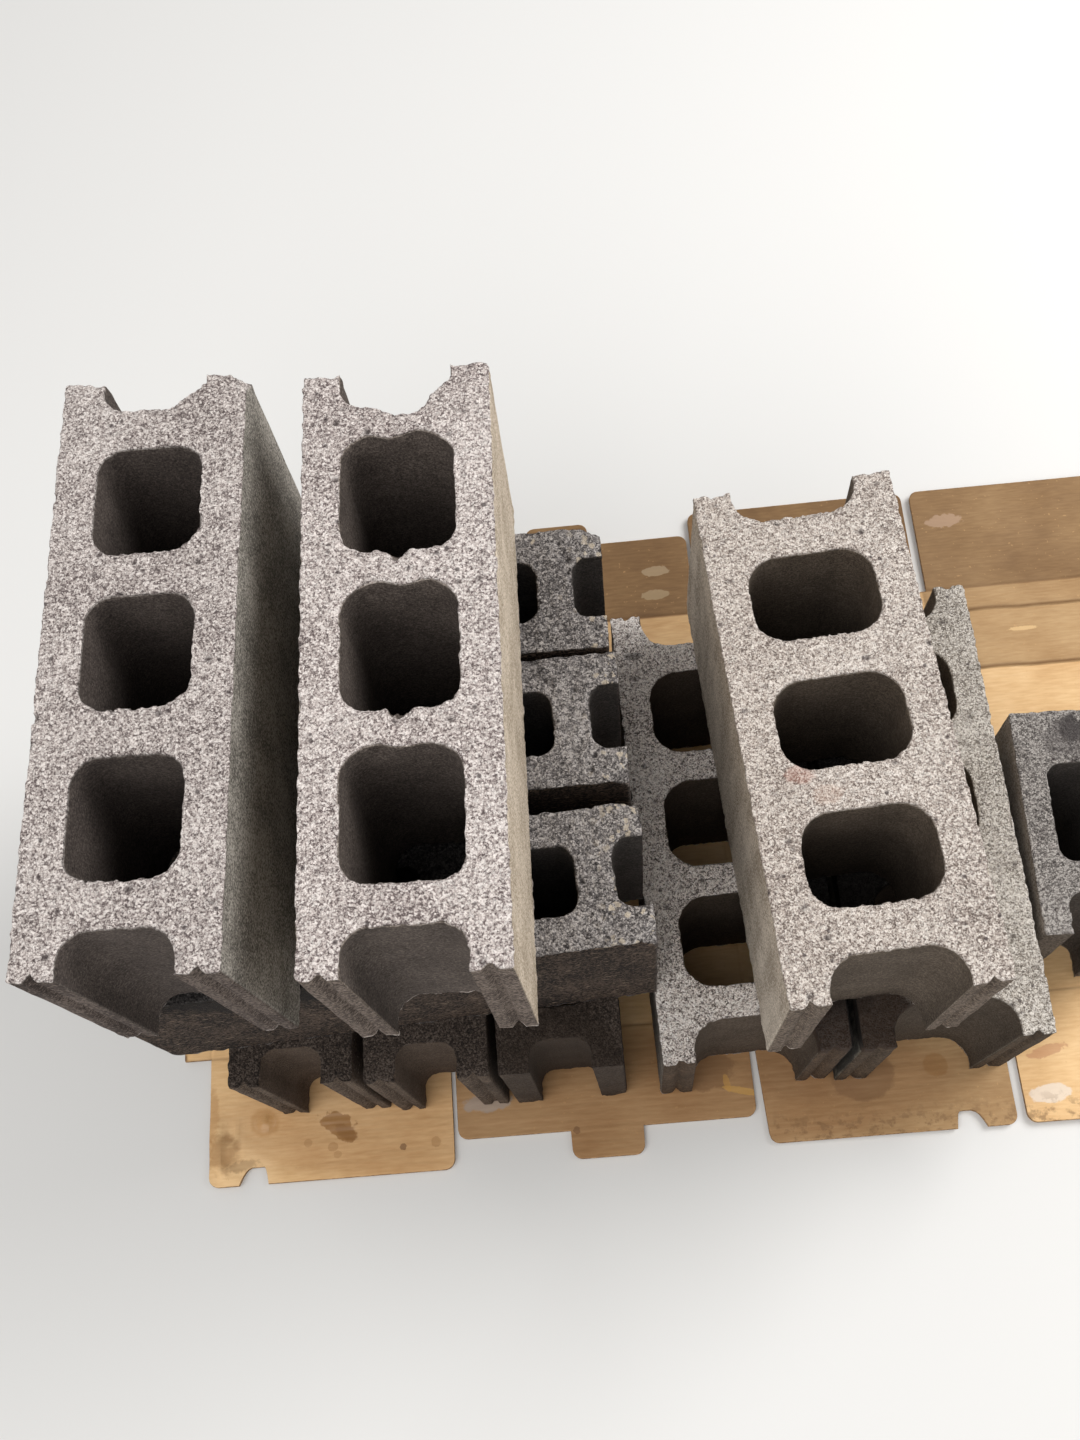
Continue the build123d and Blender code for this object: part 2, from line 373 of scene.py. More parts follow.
class Paint:
    """Node tree of one material, with short calls for the nodes that the finishes need."""

    def __init__(self, name: str) -> None:
        """Makes an empty material.

        Args:
            name: name of the material.
        """
        self.material = bpy.data.materials.new(name)
        self.material.use_nodes = True
        self.tree = self.material.node_tree
        self.tree.nodes.clear()
        self.place = self.add("TexCoord", {}).outputs["Object"]

    def add(self, kind: str, feeds: dict[int | str, object], **settings: object) -> bpy.types.Node:
        """Adds a node, sets it up and feeds its inputs.

        Args:
            kind: kind of shader node.
            feeds: for each input a socket to link, a value to set, or None to leave it.
            settings: the node's own properties.

        Returns:
            The node.
        """
        node = self.tree.nodes.new(f"ShaderNode{kind}")
        for label, value in settings.items():
            setattr(node, label, value)
        for label, value in feeds.items():
            if isinstance(value, Socket):
                self.tree.links.new(value, node.inputs[label])
            elif value is not None:
                node.inputs[label].default_value = value
        return node

    def math(self, operation: str, first: object, second: object = None) -> Socket:
        """Result of a Math node, clamped to 0 to 1."""
        node = self.add("Math", {0: first, 1: second}, operation=operation, use_clamp=True)
        return node.outputs[0]

    def scaled_sum(self, value: object, scale: float, more: object) -> Socket:
        """Value times scale, and more added to it."""
        node = self.add("Math", {0: value, 1: scale, 2: more}, operation="MULTIPLY_ADD")
        return node.outputs[0]

    def weigh(self, *parts: tuple[Socket, float]) -> Socket:
        """Adds up patterns: a half plus each one's distance from a half times its weight.

        Args:
            parts: pattern and weight.

        Returns:
            The sum.
        """
        total: object = 0.5 - 0.5 * sum(weight for _, weight in parts)
        for value, weight in parts:
            total = self.scaled_sum(value, weight, total)
        return total

    def axis(self, name: str) -> Socket:
        """The object coordinate X, Y or Z, in metres."""
        return self.add("SeparateXYZ", {0: self.place}).outputs[name]

    def fade(self, value: object, low: float, high: float) -> Socket:
        """Rises smoothly from 0 at low to 1 at high, or falls where high is the lower one.

        Args:
            value: number or socket.
            low: start of the rise.
            high: end of the rise.

        Returns:
            The result.
        """
        feeds = {"Value": value, "From Min": min(low, high), "From Max": max(low, high)}
        feeds |= {"To Min": float(low >= high), "To Max": float(low < high)}
        return self.add("MapRange", feeds, interpolation_type="SMOOTHSTEP").outputs["Result"]

    def mix(self, share: object, first: object, second: object) -> Socket:
        """Mixes two colours by the share of the second one."""
        return self.add("Mix", {0: share, 6: first, 7: second}, data_type="RGBA").outputs[2]

    def ramp(self, share: object, places: tuple[float, ...], colours: tuple[Colour, ...]) -> Socket:
        """Adds a colour ramp.

        Args:
            share: number or socket from 0 to 1.
            places: place of each stop, the lowest first.
            colours: colour of each stop.

        Returns:
            The colour.
        """
        node = self.add("ValToRGB", {0: share})
        steps = node.color_ramp.elements
        for place in places[2:]:
            steps.new(place)
        for step, place, colour in zip(steps, places, colours):
            step.position = place
            step.color = colour
        return node.outputs[0]

    def stretched(self, *stretch: float) -> Socket:
        """Object coordinates scaled on X, Y and Z."""
        return self.add("Mapping", {"Vector": self.place, "Scale": stretch}).outputs["Vector"]

    def noise(self, size: float, detail: float = 2.0, place: object = None, harsh: float = 0.5) -> Socket:
        """Adds a noise texture.

        Args:
            size: size of its lumps in millimetres.
            detail: how many finer layers it has.
            place: coordinates, or None for the object's own.
            harsh: strength of each finer layer against the one before.

        Returns:
            Values around a half.
        """
        feeds = {"Vector": place or self.place, "Scale": 1.0 / (size * MM)}
        feeds |= {"Detail": detail, "Roughness": harsh}
        return self.add("TexNoise", feeds).outputs["Fac"]

    def streak(self, detail: float, *stretch: float) -> Socket:
        """Noise on scaled coordinates, drawn out along the axes with the smaller scales."""
        return self.noise(METRE, detail, self.stretched(*stretch))

    def cells(self, size: float, feature: str = "F1") -> bpy.types.Node:
        """Voronoi texture with cells of a size in millimetres."""
        feeds = {"Vector": self.place, "Scale": 1.0 / (size * MM)}
        return self.add("TexVoronoi", feeds, feature=feature)

    def grains(self, size: float) -> tuple[Socket, Socket]:
        """Grains of a size in millimetres.

        Args:
            size: size of the grains.

        Returns:
            Distance to the nearest middle and that grain's own random number.
        """
        node = self.cells(size)
        split = self.add("SeparateColor", {0: node.outputs["Color"]})
        return node.outputs["Distance"], split.outputs[0]

    def crevices(self, size: float) -> Socket:
        """Thin lines between grains, which come and go with a coarser noise.

        Args:
            size: size of the grains in millimetres.

        Returns:
            1 in a line and 0 elsewhere.
        """
        node = self.cells(size, "DISTANCE_TO_EDGE")
        line = self.fade(node.outputs["Distance"], 0.16, 0.04)
        return self.math("MULTIPLY", line, self.fade(self.noise(size * 1.8, 1.0), 0.46, 0.58))

    def field(self, label: str) -> Socket:
        """Value of a named number of the mesh."""
        return self.add("Attribute", {}, attribute_name=label).outputs["Fac"]

    def patch(self, stain_or_shade: StainOrShade) -> Socket:
        """Spot around a place, with an uneven edge.

        The distance from the middle, each axis divided by its reach, is shaken by noise and
        falls from 1 inside to 0 outside.

        Args:
            stain_or_shade: its place, size, turn and edge.

        Returns:
            Values from 0 to 1.
        """
        feeds = {"Vector": self.place, "Rotation": (0.0, 0.0, math.radians(stain_or_shade.turn))}
        feeds |= {"Location": [value * MM for value in stain_or_shade.middle]}
        feeds |= {"Scale": [value * MM for value in stain_or_shade.reach]}
        spot = self.add("Mapping", feeds, vector_type="TEXTURE")
        length = self.add("VectorMath", {0: spot.outputs["Vector"]}, operation="LENGTH")
        shake = self.noise(min(stain_or_shade.reach) * 0.7, 3.0)
        shaken = self.scaled_sum(shake, stain_or_shade.uneven, length.outputs["Value"])
        edge = 0.95 + 0.5 * stain_or_shade.uneven
        return self.fade(shaken, edge + stain_or_shade.softness, edge - stain_or_shade.softness)

    def stained_or_shaded(self, colour: object, stains_or_shade: tuple[StainOrShade, ...]) -> object:
        """Lays spots over a colour, one after another: marks, and spots of painted shade.

        Args:
            colour: colour or socket.
            stains_or_shade: what to lay on it.

        Returns:
            The colour with the spots laid on it.
        """
        for stain_or_shade in stains_or_shade:
            share = self.math("MULTIPLY", self.patch(stain_or_shade), stain_or_shade.strength)
            colour = self.mix(share, colour, stain_or_shade.colour)
        return colour

    def bump(self, height: object, depth: float, before: object = None) -> Socket:
        """Normal of a bump so many millimetres deep, on top of an earlier bump's normal."""
        feeds = {"Strength": 1.0, "Distance": depth * MM, "Height": height, "Normal": before}
        return self.add("Bump", feeds).outputs["Normal"]

    def finish(self, colour: object, roughness: object, normal: object, level: float) -> bpy.types.Material:
        """Ends the tree in one surface shader.

        Args:
            colour: base colour.
            roughness: number or socket.
            normal: normal from the bumps.
            level: specular level.

        Returns:
            The material.
        """
        feeds = {"Base Color": colour, "Roughness": roughness, "Normal": normal}
        shader = self.add("BsdfPrincipled", feeds | {"Specular IOR Level": level})
        self.add("OutputMaterial", {0: shader.outputs[0]})
        return self.material


@dataclass(frozen=True)
class ConcreteFinish:
    """Cast concrete: open grain on the beds, finer sand on the sides, rough cores darkened by painted
    shade, and leg ends darkened partly by painted shade.
    """

    name: str
    bed: tuple[Colour, Colour, Colour, Colour]
    side: tuple[Colour, Colour, Colour]
    # Tones of the legs' end faces: partly their own colour, partly painted shade.
    end: tuple[Colour, Colour, Colour]
    # Tones of the core walls, darker than the sides: painted shade inside the cores.
    inner: tuple[Colour, Colour, Colour]
    grain: float = 1.1
    crevice: float = 0.4
    pit_share: float = 0.12
    pit_colour: Colour = tone(66, 56, 56)
    pale_share: float = 0.04
    chip_share: float = 0.0
    chip_colour: Colour = tone(190, 168, 158)
    chips_from: float = 0.0
    relief: float = 1.7
    streaks: float = 0.15
    sand: float = 1.4
    sand_spread: float = 0.14
    end_sand: float = 1.8
    end_spread: float = 0.14
    inner_sand: float = 1.3
    inner_spread: float = 0.24
    cloud: float = 38.0
    bed_cloud: float = 70.0
    pit_size: float = 6.0
    stone_size: float = 5.6
    roughness: float = 0.93
    shine: float = 0.25
    fleck: Colour = tone(206, 196, 184)
    fleck_run: tuple[float, float, float] = (330.0, 330.0, 330.0)
    fleck_edge: float = 0.76
    side_relief: float = 0.45
    stains_or_shade: tuple[StainOrShade, ...] = ()

    def bed_colour(self, paint: Paint, pores: object, grain: tuple) -> Socket:
        """Colour of the rough beds: dark pores and seams, grains of many tones, slow clouds.

        Args:
            paint: the node tree.
            pores: pattern of the pores, dark where it is low.
            grain: distance from the middle of each grain, and its own number.

        Returns:
            The colour.
        """
        distance, number = grain
        seam = paint.fade(distance, 0.95, 0.45)
        cloud = paint.noise(self.bed_cloud, 4.0)
        level = paint.weigh((pores, 0.88), (number, 0.32), (seam, 0.10), (cloud, 0.28))
        colour = paint.ramp(level, BED_STOPS, self.bed)
        line = paint.math("MULTIPLY", paint.crevices(self.grain * 1.8), self.crevice)
        colour = paint.mix(line, colour, self.pit_colour)
        fleck = paint.fade(number, 1.0 - self.pale_share, 1.01 - self.pale_share)
        return paint.mix(paint.math("MULTIPLY", fleck, 0.7), colour, self.bed[-1])

    def wall_colour(
        self,
        paint: Paint,
        shades: tuple[Colour, Colour, Colour],
        size: float,
        streaks: float,
        number: object,
        spread: float,
    ) -> Socket:
        """Colour of an upright face: sand, single grains, slow clouds and upright streaks.

        Args:
            paint: the node tree.
            shades: dark, middle and pale.
            size: size of the sand in millimetres.
            streaks: weight of the streaks.
            number: each grain's own number.
            spread: how far the dark and pale tones lie from the middle of the pattern.

        Returns:
            The colour.
        """
        sand = paint.noise(size, 3.0, None, 0.65)
        cloud = paint.noise(self.cloud, 3.0)
        streak = paint.streak(3.0, 55.0, 55.0, 7.0)
        level = paint.weigh((sand, 1.0), (number, 0.22), (cloud, 0.30), (streak, streaks))
        return paint.ramp(level, (0.5 - spread, 0.5, 0.5 + spread), shades)

    def chips(self, paint: Paint, bed: object) -> Socket:
        """Pattern of the larger broken stones, which are many beyond one place along X.

        Args:
            paint: the node tree.
            bed: how much a place belongs to a bed.

        Returns:
            Values from 0 to 1.
        """
        near, own = paint.grains(self.stone_size)
        few = paint.fade(own, 0.985, 0.99)
        many = paint.fade(own, 1.0 - self.chip_share, 1.01 - self.chip_share)
        zone = paint.fade(paint.axis("X"), self.chips_from * MM, self.chips_from * MM + 0.03)
        some = paint.math("MAXIMUM", few, paint.math("MULTIPLY", many, zone))
        size = paint.weigh((near, 1.0), (paint.noise(2.4, 1.0), 0.9))
        chip = paint.math("MULTIPLY", paint.fade(size, 0.46, 0.36), some)
        return paint.math("MULTIPLY", chip, paint.math("MULTIPLY", bed, 0.85))

    def material(self) -> bpy.types.Material:
        """Builds the material.

        Returns:
            The material.
        """
        paint = Paint(self.name)
        bed = paint.field("bed")
        pores = paint.noise(self.grain, 3.0, None, 0.6)
        grain = paint.grains(self.grain * 1.25)
        number = grain[1]
        colour = self.wall_colour(paint, self.side, self.sand, self.streaks, number, self.sand_spread)
        dash = paint.streak(1.0, *self.fleck_run)
        fleck = paint.math("MULTIPLY", paint.fade(dash, self.fleck_edge - 0.03, self.fleck_edge), 0.7)
        colour = paint.mix(fleck, colour, self.fleck)
        # The leg ends' tones, darker than the sides: partly their own colour, partly painted shade.
        end = self.wall_colour(paint, self.end, self.end_sand, 0.1, number, self.end_spread)
        colour = paint.mix(paint.field("end"), colour, end)
        # Painted shade inside the cores: the core walls take the darker inner tones.
        inner = self.wall_colour(paint, self.inner, self.inner_sand, 0.05, number, self.inner_spread)
        colour = paint.mix(paint.field("inner"), colour, inner)
        colour = paint.mix(bed, colour, self.bed_colour(paint, pores, grain))
        distance, own = paint.grains(self.pit_size)
        some = paint.fade(own, self.pit_share, self.pit_share - 0.02)
        pit = paint.math("MULTIPLY", paint.fade(distance, 0.34, 0.14), some)
        pit = paint.math("MAXIMUM", paint.math("MULTIPLY", pit, bed), paint.field("pit"))
        colour = paint.mix(paint.math("MULTIPLY", pit, 0.8), colour, self.pit_colour)
        if self.chip_share > 0.0:
            colour = paint.mix(self.chips(paint, bed), colour, self.chip_colour)
        colour = paint.stained_or_shaded(colour, self.stains_or_shade)
        rough = paint.math("MULTIPLY", pores, paint.math("MAXIMUM", bed, self.side_relief))
        normal = paint.bump(rough, self.relief)
        domes = paint.math("MULTIPLY", paint.fade(grain[0], 1.0, 0.1), bed)
        normal = paint.bump(domes, self.relief * 0.25, normal)
        normal = paint.bump(paint.noise(1.0, 2.0), self.relief * 0.2, normal)
        return paint.finish(colour, self.roughness, normal, self.shine)


@dataclass(frozen=True)
class CardboardFinish:
    """Brown corrugated board: liner fibres, faint flutes, damp and other marks, and painted shade on some
    strips and in the creases.
    """

    name: str
    liner: tuple[Colour, Colour, Colour]
    # Darker copy of the liner, mixed in for painted shade.
    painted_shade_liner: tuple[Colour, Colour, Colour]
    rim: tuple[Colour, Colour]
    # Colour of the painted shade along the creases.
    crease: Colour
    dirt: Colour
    stains_or_shade: tuple[StainOrShade, ...] = ()
    wet: tuple[StainOrShade, ...] = ()
    flute: float = 6.5
    flute_depth: float = 0.10
    fibre_run: tuple[float, float, float] = (70.0, 480.0, 480.0)
    fibre_depth: float = 0.05
    wrinkle_run: tuple[float, float, float] = (7.0, 42.0, 42.0)
    wrinkle_depth: float = 2.4
    rim_run: tuple[float, float, float] = (260.0, 260.0, 900.0)
    cloud: float = 90.0
    speck: float = 3.2
    soil: float = 8.0
    smooth: Colour = (0.62, 0.62, 0.62, 1.0)
    rough: Colour = (0.78, 0.78, 0.78, 1.0)
    shine: float = 0.3

    def material(self) -> bpy.types.Material:
        """Builds the material.

        Returns:
            The material.
        """
        paint = Paint(self.name)
        fibre = paint.streak(3.0, *self.fibre_run)
        cloud = paint.noise(self.cloud, 4.0)
        level = paint.weigh((fibre, 0.30), (cloud, 0.60))
        colour = paint.ramp(level, LINER_STOPS, self.liner)
        # Painted shade: the darker liner is mixed in by the mesh field of painted shade.
        far = paint.ramp(level, LINER_STOPS, self.painted_shade_liner)
        colour = paint.mix(paint.field("painted_shade"), colour, far)
        speck = paint.fade(paint.noise(self.speck, 1.0), 0.70, 0.76)
        colour = paint.mix(paint.math("MULTIPLY", speck, 0.35), colour, self.liner[0])
        colour = paint.stained_or_shaded(colour, self.stains_or_shade)
        soil = paint.fade(paint.noise(self.soil, 4.0, None, 0.65), 0.48, 0.64)
        soil = paint.math("MULTIPLY", soil, paint.field("worn"))
        colour = paint.mix(paint.math("MULTIPLY", soil, 0.6), colour, self.dirt)
        # Painted shade along the creases.
        colour = paint.mix(paint.math("MULTIPLY", paint.field("crease"), 0.6), colour, self.crease)
        edge = paint.fade(paint.field("rim"), 0.55, 0.95)
        wave = paint.streak(1.0, *self.rim_run)
        colour = paint.mix(edge, colour, paint.ramp(wave, (0.4, 0.6), self.rim))
        normal = paint.bump(self.flutes(paint), self.flute_depth)
        wrinkle = paint.streak(3.0, *self.wrinkle_run)
        normal = paint.bump(wrinkle, self.wrinkle_depth, normal)
        normal = paint.bump(fibre, self.fibre_depth, normal)
        roughness = paint.mix(paint.noise(40.0, 2.0), self.smooth, self.rough)
        roughness = paint.stained_or_shaded(roughness, self.wet)
        return paint.finish(colour, roughness, normal, self.shine)

    def flutes(self, paint: Paint) -> Socket:
        """Washboard of the flutes along Y that shows faintly through the liner."""
        feeds = {"Vector": paint.place, "Scale": BAND_SPACING / (self.flute * MM)}
        return paint.add("TexWave", feeds, bands_direction="Y").outputs["Fac"]


@dataclass(frozen=True)
class Section:
    """Plan of one kind of block, measured on the face where its cores are narrowest."""

    width: float
    shell: float
    web: float
    recess: float
    core_radius: float
    grooved: bool = False
    length: float = BLOCK_LENGTH
    cores: int = 3
    end_wall: float = 0.0

    @property
    def half_hole(self) -> float:
        """Half width of the cores and recesses across the block."""
        return self.width / 2.0 - self.shell

    @property
    def core_length(self) -> float:
        """Length of one core along the block."""
        far = self.end_wall or self.web + self.recess
        run = self.length - self.recess - self.web - far
        return (run - (self.cores - 1) * self.web) / self.cores

    @property
    def core_middles(self) -> list[float]:
        """Middle of each core along the block."""
        first = -self.length / 2.0 + self.recess + self.web + self.core_length / 2.0
        return [first + n * (self.core_length + self.web) for n in range(self.cores)]

    @property
    def stations(self) -> list[float]:
        """Middle line of each web, and the far end where that end is solid."""
        half_step = (self.core_length + self.web) / 2.0
        lines = [self.core_middles[0] - half_step]
        lines += [middle + half_step for middle in self.core_middles]
        if self.end_wall:
            lines[-1] = self.length / 2.0
        return lines

    @property
    def open_ends(self) -> tuple[float, ...]:
        """Ends of the block that have a recess, as -1 and 1."""
        return (-1.0,) if self.end_wall else (-1.0, 1.0)

    @property
    def pockets(self) -> list[tuple[float, float]]:
        """Middle and half length of each core and of each end recess, mirrored outside."""
        cores = [(middle, self.core_length / 2.0) for middle in self.core_middles]
        return cores + [(end * self.length / 2.0, self.recess) for end in self.open_ends]


@dataclass(frozen=True)
class Seat:
    """Place of one block: middle of its lower face, tier, heading and which way up it lies."""

    x: float
    y: float
    tier: int
    heading: float
    narrow_up: bool

    def placed(self, points: np.ndarray) -> np.ndarray:
        """Turns and moves points from the block's own axes to the stack's.

        Args:
            points: places in millimetres, shape (n, 3).

        Returns:
            Places in metres, shape (n, 3).
        """
        turn = math.radians(self.heading)
        along = np.array([math.cos(turn), math.sin(turn)])
        across = np.array([-math.sin(turn), math.cos(turn)])
        plan = points[:, :1] * along + points[:, 1:2] * across + np.array([self.x, self.y])
        height = points[:, 2:] + BOARD_THICKNESS + self.tier * BLOCK_HEIGHT
        return np.hstack([plan, height]) * MM


class Fineness(Enum):
    """How close the points of a block lie."""

    CLOSE = (1.9, 16, 18)
    MIDDLE = (2.4, 14, 14)
    COARSE = (2.8, 12, 14)

    def __init__(self, step: float, face_rows: int, wall_rows: int) -> None:
        """Names the three numbers.

        Args:
            step: step along the edges, in millimetres.
            face_rows: rows of faces from a core to the outside.
            wall_rows: rows of faces down a wall.
        """
        self.step = step
        self.face_rows = face_rows
        self.wall_rows = wall_rows


@dataclass(frozen=True)
class Dent:
    """Place on the upper bed where the surface is pushed: its middle, reach and move."""

    along: float
    across: float
    reach: float
    move: tuple[float, float, float]
    tall: float = 1.0


@dataclass(frozen=True)
class Break:
    """Corner broken off by a rough plane: end and side as 1 or -1, and how far it runs."""

    end: int
    side: int
    length: float = 16.0
    across: float = 13.0
    drop: float = 14.0


@dataclass
class HollowBlock:
    """One hollow concrete block as a closed surface."""

    node: str
    section: Section
    seat: Seat
    slot: str
    fineness: Fineness
    seed: int
    arris: float = 0.5
    ragged: float = 1.6
    roughness: float = 0.9
    side_roughness: float = 0.15
    pit_share: float = 0.10
    lip: float = 1.0
    worn_back: float = 0.6
    rear_groove: float = 1.0
    dents: tuple[Dent, ...] = ()
    breaks: tuple[Break, ...] = ()
    seam: float = 0.0

    def opening(self, height: np.ndarray | float) -> np.ndarray:
        """How much wider each side of a hole is at a height than on the narrow face.

        Args:
            height: height above the block's lower face.

        Returns:
            Draft, from 0 to CORE_DRAFT.
        """
        share = np.asarray(height) / BLOCK_HEIGHT
        if self.seat.narrow_up:
            share = 1.0 - share
        return share * CORE_DRAFT

    def rows(self, count: int, crowd: float) -> np.ndarray:
        """Shares that crowd at both ends: half of 1 + tanh(c t) / tanh(c), t from -1 to 1."""
        even = np.linspace(-1.0, 1.0, count + 1)
        return (np.tanh(even * crowd) / math.tanh(crowd) + 1.0) / 2.0

    def counts(self) -> tuple[int, int, int]:
        """Works out how many steps the cells have.

        Returns:
            Steps across the block, along a core's cell and along a leg's cell.
        """
        step = self.fineness.step
        half_across = round(self.section.width / step / 2.0)
        along = round((self.section.core_length + self.section.web) / step)
        leg = round((self.section.stations[0] + self.section.length / 2.0) / step)
        return 2 * half_across, along, leg

    def hole_side(self, reach: float, half_run: float, count: int) -> tuple[np.ndarray, np.ndarray]:
        """One side of a rounded rectangle, from the middle of one corner to that of the next.

        Points are spaced evenly along half an arc, the straight and half the next arc. An
        arc's angle is its length over its radius, held between -45 and 45 degrees.

        Args:
            reach: distance from the middle to the side.
            half_run: half the size along the side.
            count: number of steps.

        Returns:
            Distance out and place along, each of count + 1 points.
        """
        radius = self.section.core_radius
        eighth = math.pi / 4.0 * radius
        straight = 2.0 * (half_run - radius)
        run = np.linspace(0.0, straight + 2.0 * eighth, count + 1)
        angle = np.clip((run - eighth) / radius, -math.pi / 4.0, 0.0)
        angle += np.clip((run - eighth - straight) / radius, 0.0, math.pi / 4.0)
        along = np.clip(run - eighth, 0.0, straight) - straight / 2.0 + radius * np.sin(angle)
        return reach - radius + radius * np.cos(angle), along

    def core_loop(self, middle: float, height: float) -> np.ndarray:
        """Closed outline of a core, anticlockwise from the middle of its first corner.

        Args:
            middle: middle of the core along the block.
            height: height above the lower face.

        Returns:
            Places in plan, the first repeated at the end, shape (n, 2).
        """
        across, along, _ = self.counts()
        draft = float(self.opening(height))
        half_x = self.section.core_length / 2.0 + draft
        half_y = self.section.half_hole + draft
        out_x, run_y = self.hole_side(half_x, half_y, across)
        out_y, run_x = self.hole_side(half_y, half_x, along)
        x = np.concatenate([out_x[:-1], -run_x[:-1], -out_x[:-1], run_x])
        y = np.concatenate([run_y[:-1], out_y[:-1], -run_y[:-1], -out_y])
        return np.stack([x + middle, y], axis=1)

    def cell_loop(self, low: float, high: float) -> np.ndarray:
        """Rectangle round a core, with as many points as the core's outline.

        Args:
            low: its lower end along the block.
            high: its upper end along the block.

        Returns:
            Places in plan, shape (n, 2).
        """
        across, along, _ = self.counts()
        half = self.section.width / 2.0
        y = np.linspace(-half, half, across + 1)
        x = np.linspace(high, low, along + 1)
        side_x = np.full(across, high)
        side_y = np.full(along, half)
        xs = np.concatenate([side_x, x[:-1], np.full(across, low), x[::-1]])
        ys = np.concatenate([y[:-1], side_y, y[::-1][:-1], np.full(along + 1, -half)])
        return np.stack([xs, ys], axis=1)

    def recess_path(self, height: float) -> np.ndarray:
        """Outline of the end recess at the far end, from its left lip to its right one.

        A straight run and half an arc, one side of a rounded rectangle, and half an arc and a
        straight run.

        Args:
            height: height above the lower face.

        Returns:
            Places in plan, shape (n, 2).
        """
        across, _, leg = self.counts()
        draft = float(self.opening(height))
        radius = self.section.core_radius
        depth = self.section.recess + draft
        half_y = self.section.half_hole + draft
        end = self.section.length / 2.0
        straight = depth - radius
        run = np.linspace(0.0, straight + math.pi / 4.0 * radius, leg + 1)
        angle = np.clip((run - straight) / radius, 0.0, math.pi / 4.0)
        leg_x = end - np.minimum(run, straight) - radius * np.sin(angle)
        leg_y = half_y - radius + radius * np.cos(angle)
        out, along = self.hole_side(depth, half_y, across)
        x = np.concatenate([leg_x[:-1], end - out[:-1], leg_x[::-1]])
        y = np.concatenate([leg_y[:-1], -along[:-1], -leg_y[::-1]])
        return np.stack([x, y], axis=1)

    def leg_path(self) -> np.ndarray:
        """Outside of the end cell, with as many points as the recess outline.

        Returns:
            Places in plan, shape (n, 2).
        """
        across, _, leg = self.counts()
        half = self.section.width / 2.0
        end = self.section.length / 2.0
        line = -self.section.stations[0]
        x = np.linspace(end, line, leg + 1)
        y = np.linspace(half, -half, across + 1)
        xs = np.concatenate([x[:-1], np.full(across, line), x[::-1]])
        ys = np.concatenate([np.full(leg, half), y[:-1], np.full(leg + 1, -half)])
        return np.stack([xs, ys], axis=1)

    def leg_end(self, height: float, which: int, share: np.ndarray) -> np.ndarray:
        """End of one leg, 0 or -1: shares of the way from its outer corner to the recess."""
        return self.recess_path(height)[which] * share + self.leg_path()[which] * (1.0 - share)

    def lift(self, plan: np.ndarray, height: float) -> np.ndarray:
        """Adds a height to places in plan, shape (..., 2)."""
        return np.concatenate([plan, np.full(plan.shape[:-1] + (1,), height)], axis=-1)

    def add_faces(
        self,
        surface: Surface,
        hole: Outline,
        rim: np.ndarray,
        turn: float,
        lower: np.ndarray,
    ) -> None:
        """Adds the bed and lower face of one cell as rays from its hole to its outside.

        Args:
            surface: where the grids go.
            hole: function of a height that gives the outline of the hole.
            rim: outside of the cell, in plan.
            turn: 1, or -1 for a cell that is turned round end for end.
            lower: shares of the way at which the lower face has its rows.
        """
        upper = self.rows(self.fineness.face_rows, FACE_CROWD)
        for height, shares in ((BLOCK_HEIGHT, upper), (0.0, lower)):
            share = shares[:, None, None]
            inside = hole(height)
            grid = inside[None] + (rim - inside)[None] * share
            points = self.lift(grid * turn, height)
            surface.add_grid(points if height > 0.0 else points.transpose(1, 0, 2))

    def add_wall(self, surface: Surface, path: Outline, outside: bool, turn: float = 1.0) -> None:
        """Adds an upright wall along an anticlockwise path that may change with height."""
        grid = np.stack([self.lift(path(height) * turn, height) for height in self.wall_heights()])
        surface.add_grid(grid if outside else grid.transpose(1, 0, 2))

    def wall_heights(self) -> np.ndarray:
        """Heights of a wall's rows from the top down: close ones first, then ever wider steps.

        Returns:
            Heights above the lower face.
        """
        even = (1.0 - self.rows(self.fineness.wall_rows, WALL_CROWD)) * BLOCK_HEIGHT
        close = BLOCK_HEIGHT - np.array(TOP_ROWS)
        return np.concatenate([close, even[even < close[-1] - 1.5]])

    def surface(self) -> tuple[np.ndarray, np.ndarray]:
        """Collects the sharp-edged block, cell by cell.

        Returns:
            Points in millimetres and faces.
        """
        surface = Surface()
        across, along, leg = self.counts()
        lines = self.section.stations
        hidden = self.rows(HIDDEN_ROWS, HIDDEN_CROWD)
        for middle, low, high in zip(self.section.core_middles, lines[:-1], lines[1:]):
            rim = self.cell_loop(low, high)
            core = partial(self.core_loop, middle)
            self.add_faces(surface, core, rim, 1.0, hidden)
            self.add_wall(surface, core, False)
            self.add_wall(surface, held(rim[across : across + along + 1]), True)
            self.add_wall(surface, held(rim[2 * across + along :]), True)
        if self.section.end_wall:
            end_face = self.cell_loop(lines[-2], lines[-1])[: across + 1]
            self.add_wall(surface, held(end_face), True)
        ends = self.rows(self.fineness.face_rows, FACE_CROWD)
        share = ends[:, None]
        rim = self.leg_path()
        for turn in self.section.open_ends:
            self.add_faces(surface, self.recess_path, rim, turn, ends)
            self.add_wall(surface, self.recess_path, False, turn)
            self.add_wall(surface, held(rim[: leg + 1]), True, turn)
            self.add_wall(surface, held(rim[leg + across :]), True, turn)
            self.add_wall(surface, lambda z: self.leg_end(z, 0, share)[::-1], True, turn)
            self.add_wall(surface, lambda z: self.leg_end(z, -1, share), True, turn)
        return surface.merged()

